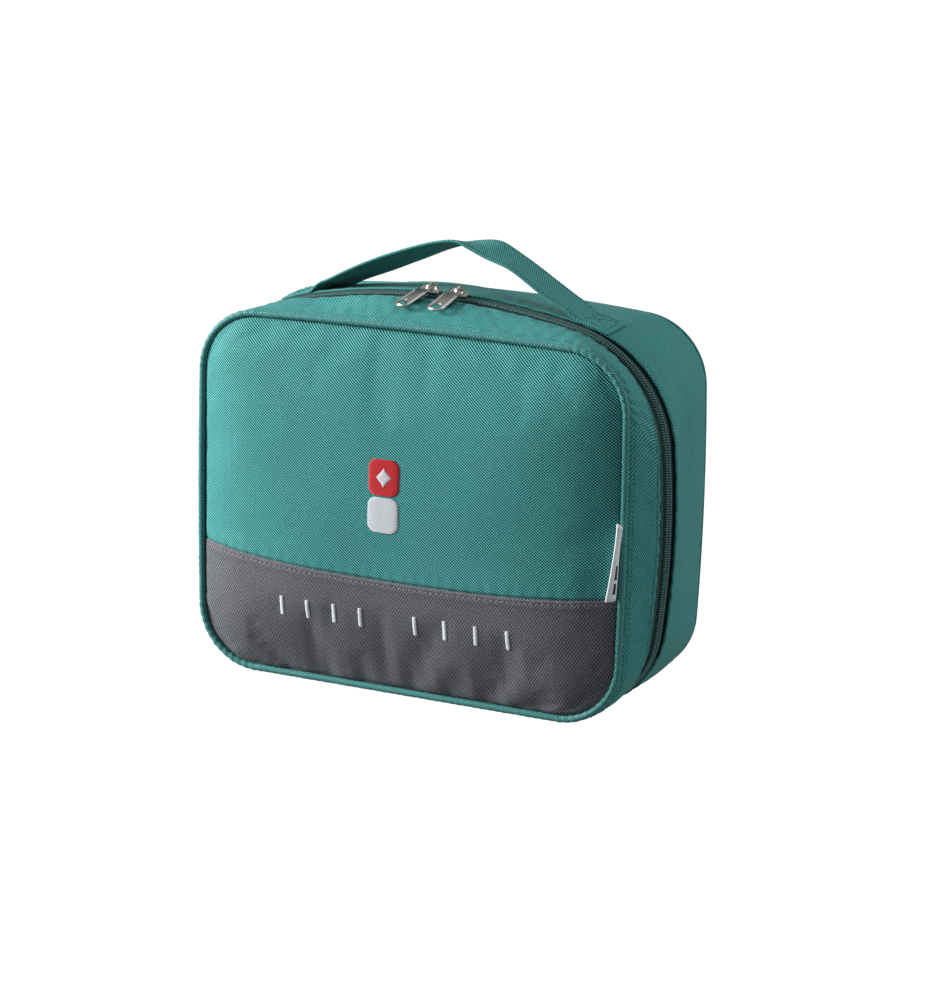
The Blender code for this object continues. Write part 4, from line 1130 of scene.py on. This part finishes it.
embroidered('emblem_tile_red_threads', tile_span(-14.6, 3.6, 111.0, 130.0, 4.5), 111.0, 130.0, RED_T, 'lid', nodes=['emblem_tile_red'], slot='red_thread', seed=11)
embroidered('emblem_tile_white_threads', tile_span(-14.6, 3.6, 91.4, 109.9, 4.5), 91.4, 109.9, WHITE_T, 'lid', nodes=['emblem_tile_white'], slot='white_label', seed=12)
embroidered('emblem_diamond_threads', lambda z: (-5.5 - (5.0 - abs(z - 120.5)), -5.5 + (5.0 - abs(z - 120.5))), 115.5, 125.5, WHITE_T, 'lid', lift=0.52, seed=13)
for k, cx in enumerate((-65.8, -50.2, -34.6, -19.0, 13.0, 30.0, 48.0, 65.8)):
    embroidered('row_mark_%d' % k, tile_span(cx - 1.25, cx + 1.25, 38.3, 48.8, 0.6), 38.3, 48.8, WHITE_T, 'lid', seed=20 + k, lift=0.22)

# folded label caught in the right seam, its free end curling forwards
n0, n1 = 22, 14
F, B = np.zeros((n0, n1, 3)), np.zeros((n0, n1, 3))
for i in range(n0):
    t = i / (n0 - 1)
    root = np.array([119.9 + 0.6 * t + 2.2 * t ** 3, -54.0 - 1.5 * t ** 3, 70.6 + 37.2 * t])
    free_e = np.array([117.2 + 4.2 * t + 1.0 * math.sin(PI * t), -59.6 + 0.5 * t - 0.8 * (1 - t), 70.2 + 41.0 * t])
    for j in range(n1):
        u = j / (n1 - 1)
        p = root * (1 - u) + free_e * u
        p = p + np.array([1.1 * math.sin(PI * u) + 0.25 * math.sin(5 * t + 3 * u), -0.3 * math.sin(PI * u), 0])
        th = 0.32 + 0.22 * math.sin(PI * min(u * 1.15, 1))
        F[i, j] = p + np.array([-th, -0.15, 0])
        B[i, j] = p + np.array([th, 0.15, 0])
lab_uv = np.stack(np.meshgrid(np.linspace(0, 9, n1), np.linspace(0, 38, n0)), 2)
slab('side_label_ribbon', F, B, LABEL_M, 'lid', uv=lab_uv, nodes=['side_label'], slot='white_label')
for k, (t0, t1, u0, u1) in enumerate(((0.10, 0.22, 0.50, 0.66), (0.30, 0.44, 0.52, 0.66))):
    i0, i1, j0, j1 = int(t0 * 21), int(t1 * 21) + 1, int(u0 * 13), int(u1 * 13) + 1
    q = B[i0:i1 + 1, j0:j1 + 1] + np.array([0.06, -0.04, 0])
    slab('side_label_mark_%d' % k, q, q + np.array([-0.08, 0.03, 0]), INK_M, 'lid')

# ------------------------------------------------------------------ inside the lid: mesh pocket


def rect_grid(a, z0, z1, r, nx, nz):
    tx = np.sin(PI / 2 * np.linspace(-1, 1, nx)) * a
    x = np.broadcast_to(tx[None, :], (nz, nx)).copy()
    u = np.maximum(np.abs(x) - (a - r), 0)
    c = r - np.sqrt(np.maximum(r * r - u * u, 0))
    lo, hi = z0 + c, z1 - c
    return x, lo + (hi - lo) * np.linspace(0, 1, nz)[:, None]


x, z = rect_grid(107.5, 14.5, 138.5, 20, 110, 60)
edge = np.minimum(107.5 - np.abs(x), np.minimum(z - 14.5, 200.0))
y = -45.9 + 1.6 * (1 - np.exp(-np.maximum(edge, 0) / 14)) + 0.35 * lumps(x, z, 81, lo=30, hi=70) * (1 - np.exp(-np.maximum(edge, 0) / 10))
F = np.stack([x, y, z], 2)
B = F + np.array([0, 0.25, 0])
k = 110 * 60
pocket = mesh('mesh_pocket_net', F, grid_faces(60, 110), MESH_M, 'lid', uv=np.stack([x, z], 2), nodes=['mesh_pocket'], slot='mesh', weld=False)
rim_x, rim_z = np.concatenate([x[0], x[1:, -1], x[-1, ::-1][1:], x[::-1, 0][1:-1]]), np.concatenate([z[0], z[1:, -1], z[-1, ::-1][1:], z[::-1, 0][1:-1]])
keep = [0]
for i in range(1, len(rim_x)):
    if math.hypot(rim_x[i] - rim_x[keep[-1]], rim_z[i] - rim_z[keep[-1]]) > 1.0:
        keep.append(i)
rim = np.stack([rim_x[keep], np.full(len(keep), -46.0), rim_z[keep]], 1)
bind = tube('mesh_pocket_binding', rim, 0.9, BIND_M, 'lid', closed=True, sides=8, flat=2.3)


def board(name, x0, x1, z0, z1, y, t, mat, body, nodes, slot, nx=80, nz=10, uvs=1.0):
    xs, zs = np.meshgrid(np.linspace(x0, x1, nx), np.linspace(z0, z1, nz))
    e = np.minimum(np.minimum(xs - x0, x1 - xs), np.minimum(zs - z0, z1 - zs))
    h = t / 2 * (0.4 + 0.6 * np.sqrt(1 - (1 - np.clip(e / 0.8, 0, 1)) ** 2))
    F = np.stack([xs, y - h, zs], 2)
    B = np.stack([xs, y + h, zs], 2)
    return slab(name, F, B, mat, body, nodes=nodes, slot=slot)


board('pocket_zipper_web', -100, 100, 138.6, 150, -46.0, 0.9, TAPE_M, 'lid', ['pocket_zipper_tape'], 'zipper_tape')
for k, sg in enumerate((-1, 1)):
    xs = np.linspace(-96, 96, 400)
    p = np.stack([xs, np.full(400, -45.5), np.full(400, 144.2 + sg * 0.2)], 1)
    coil('pocket_coil_%d' % k, sg, 'lid', None, 0, 0, p, np.tile([0, 1.0, 0], (400, 1)), lambda n, b, sg=sg: np.array([0, 0, sg * 1.0]), 0.5 + 0.5 * k,
         ['pocket_zipper_coil'] if k == 0 else [], pitch=1.25, reach=1.6, tall=1.0)
v, f = solid_from_curve([round_poly([(-4.5, -2.7), (4.5, -2.2), (4.5, 2.2), (-4.5, 2.7)], 1.0)], 0.45, 0.18)
body_part = (np.stack([v[:, 0], -v[:, 2] - 43.7, v[:, 1]], 1), [q[::-1] for q in f])
q = np.linspace(0, PI, 15)
bv, bf = bar(np.stack([2.2 * np.cos(q), -43.4 + 1.3 * np.sin(q), np.zeros(15)], 1), 1.3, 0.5, (0, 0, 1))
tongue, tf = solid_from_curve([round_poly([(-1.6, 0.8), (1.6, 0.8), (2.2, -9.5), (-2.2, -9.5)], 1.2), ring2(0.9, 0, -7.4, 16), round_poly([(-0.8, 0.2), (-0.8, -1.6), (0.8, -1.6), (0.8, 0.2)], 0.3)], 0.3, 0.1)
tongue = np.stack([tongue[:, 0], -42.6 + tongue[:, 2] * 0.9, tongue[:, 1]], 1)
vs, fs = merge([body_part, (bv, bf), (tongue, tf)])
mesh('pocket_slider_body', vs + [-88.0, 0, 144.2], fs, NICKEL, 'pocket_slider', nodes=['pocket_zipper_slider'], slot='nickel', sharp=40)

# ------------------------------------------------------------------ inside the body: elastic band and dividers
nx, nz = 240, 14
xs, zs = np.meshgrid(np.linspace(-96, 96, nx), np.linspace(150, 176, nz))
loopy = np.abs(np.sin(PI * (xs + 96) / 32.0)) ** 0.7
y = 46.0 - 2.6 * loopy - 0.15 * np.sin(2 * PI * zs / 2.6)
F = np.stack([xs, y - 0.4, zs], 2)
B = np.stack([xs, y + 0.4, zs], 2)
slab('elastic_loop_band', F, B, ELASTIC_M, 'body', nodes=['elastic_band'], slot='lining')
for k, xx in enumerate(np.arange(-96, 97, 32.0)):
    leg = [(xx * 0.995, 45.45, q) for q in np.linspace(151, 175, 30)]
    stitches('elastic_stitch_%d' % k, leg, np.tile([0, -1.0, 0], (30, 1)), 1.7, 2.2, 0.25, GREY_THREAD, 'body', closed=False)


def divider(name, quad, t0, t1, up, node_name):
    """Padded board with a bound front edge: quad is four (across, y) corners, and t0..t1 its thickness."""
    q = np.array(quad, float)
    nu, nw = 70, 26
    u, w = np.meshgrid(np.linspace(0, 1, nu), np.linspace(0, 1, nw))
    pt = (q[0] * ((1 - u) * (1 - w))[..., None] + q[1] * (u * (1 - w))[..., None] + q[2] * (u * w)[..., None] + q[3] * ((1 - u) * w)[..., None])
    wid, dep = np.linalg.norm(q[1] - q[0]), abs(q[2][1] - q[1][1])
    e = np.minimum(np.minimum(u, 1 - u) * wid, np.minimum(w, 1 - w) * dep)
    T = (t1 - t0) / 2
    h = T * (0.25 + 0.75 * np.sqrt(1 - (1 - np.clip(e / 3.0, 0, 1)) ** 2)) + 0.16 * lumps(pt[..., 0], pt[..., 1], 91, lo=18, hi=50) * np.clip(e / 8, 0, 1)
    c = (t0 + t1) / 2
    if up:
        F, B = np.stack([pt[..., 0], pt[..., 1], c - h], 2), np.stack([pt[..., 0], pt[..., 1], c + h], 2)
    else:
        F, B = np.stack([c - h, pt[..., 1], pt[..., 0]], 2), np.stack([c + h, pt[..., 1], pt[..., 0]], 2)
    ob = slab(name, F, B, LINE_M, 'body', uv=pt, nodes=[node_name], slot='lining')
    e0 = q[0] + (q[1] - q[0]) * 0.01
    e1 = q[0] + (q[1] - q[0]) * 0.99
    line = np.linspace(e0, e1, 60)
    pth = np.stack([line[:, 0], line[:, 1] + 0.6, np.full(60, c)], 1) if up else np.stack([np.full(60, c), line[:, 1] + 0.6, line[:, 0]], 1)
    tube(name + '_binding', pth, 2.1, BIND_M, 'body', sides=10, flat=0.72, up=(0, 1, 0))
    return ob


divider('divider_long_pad', [(-126.0, -10.0), (126.0, -10.0), (119.0, 44.5), (-119.0, 44.5)], 92.0, 96.0, True, 'divider_long')
divider('divider_short_left_pad', [(96.6, -10.0), (199.3, -10.0), (196.3, 44.5), (96.6, 44.5)], -42.0, -38.0, False, 'divider_short_left')
divider('divider_short_right_pad', [(6.2, -10.0), (91.4, -10.0), (91.4, 44.5), (6.2, 44.5)], 38.0, 42.0, False, 'divider_short_right')

# ------------------------------------------------------------------ floor, light, camera
bpy.ops.mesh.primitive_plane_add(size=6.0, location=(0, 0, -0.0002))
floor = bpy.context.object
floor.name = 'floor'
fm, ns, ln, b = shader('pale_floor', (0.9, 0.9, 0.9), 0.9, spec=0.0)
tr = node(ns, 'ShaderNodeBsdfTransparent')
mx = node(ns, 'ShaderNodeMixShader')
mx.inputs[0].default_value = 0.05
ln.new(tr.outputs[0], mx.inputs[1])
ln.new(b.outputs[0], mx.inputs[2])
ln.new(mx.outputs[0], ns['Material Output'].inputs['Surface'])
floor.data.materials.append(fm)

world = bpy.data.worlds.new('studio')
bpy.context.scene.world = world
world.use_nodes = True
wn, wl = world.node_tree.nodes, world.node_tree.links
wn['Background'].inputs[0].default_value = (0.96, 0.98, 1.0, 1)
wn['Background'].inputs[1].default_value = 0.30
white = wn.new('ShaderNodeBackground')
white.inputs[0].default_value = (1, 1, 1, 1)
white.inputs[1].default_value = 1.12
seen = wn.new('ShaderNodeLightPath')
pick = wn.new('ShaderNodeMixShader')
wl.new(seen.outputs['Is Camera Ray'], pick.inputs[0])
wl.new(wn['Background'].outputs[0], pick.inputs[1])
wl.new(white.outputs[0], pick.inputs[2])
wl.new(pick.outputs[0], wn['World Output'].inputs['Surface'])


def area(name, loc, size, power, target=(0, 0, 0.1), colour=(1, 1, 1)):
    li = bpy.data.lights.new(name, 'AREA')
    li.energy, li.size, li.color = power, size, colour
    ob = bpy.data.objects.new(name, li)
    bpy.context.scene.collection.objects.link(ob)
    ob.location = loc
    ob.rotation_euler = (Vector(target) - Vector(loc)).to_track_quat('-Z', 'Y').to_euler()
    return ob


area('key_left', (-1.60, -0.70, 0.72), 0.7, 80.0, colour=(0.98, 0.99, 1.0))
area('top', (0.25, 0.1, 1.5), 1.0, 6.5)
area('fill_right', (1.4, 0.55, 0.55), 0.8, 7.6)

yaw, pit, roll = math.radians(25.583), math.radians(13.853), math.radians(1.287)
fwd = np.array([-math.sin(yaw) * math.cos(pit), math.cos(yaw) * math.cos(pit), -math.sin(pit)])
right = np.array([math.cos(yaw), math.sin(yaw), 0.0])
upv = np.cross(right, fwd)
r2 = right * math.cos(roll) + upv * math.sin(roll)
u2 = -right * math.sin(roll) + upv * math.cos(roll)
cam = bpy.data.cameras.new('camera')
cam.sensor_width = 36.0
cam.lens = 2880.9 / 986 * 36
cam.clip_start, cam.clip_end = 0.05, 20.0
co = bpy.data.objects.new('camera', cam)
bpy.context.scene.collection.objects.link(co)
co.matrix_world = Matrix([[r2[0], u2[0], -fwd[0], 0.65496], [r2[1], u2[1], -fwd[1], -1.34379], [r2[2], u2[2], -fwd[2], 0.46791], [0, 0, 0, 1]])
bpy.context.scene.camera = co
bpy.context.scene.view_settings.view_transform = 'Standard'
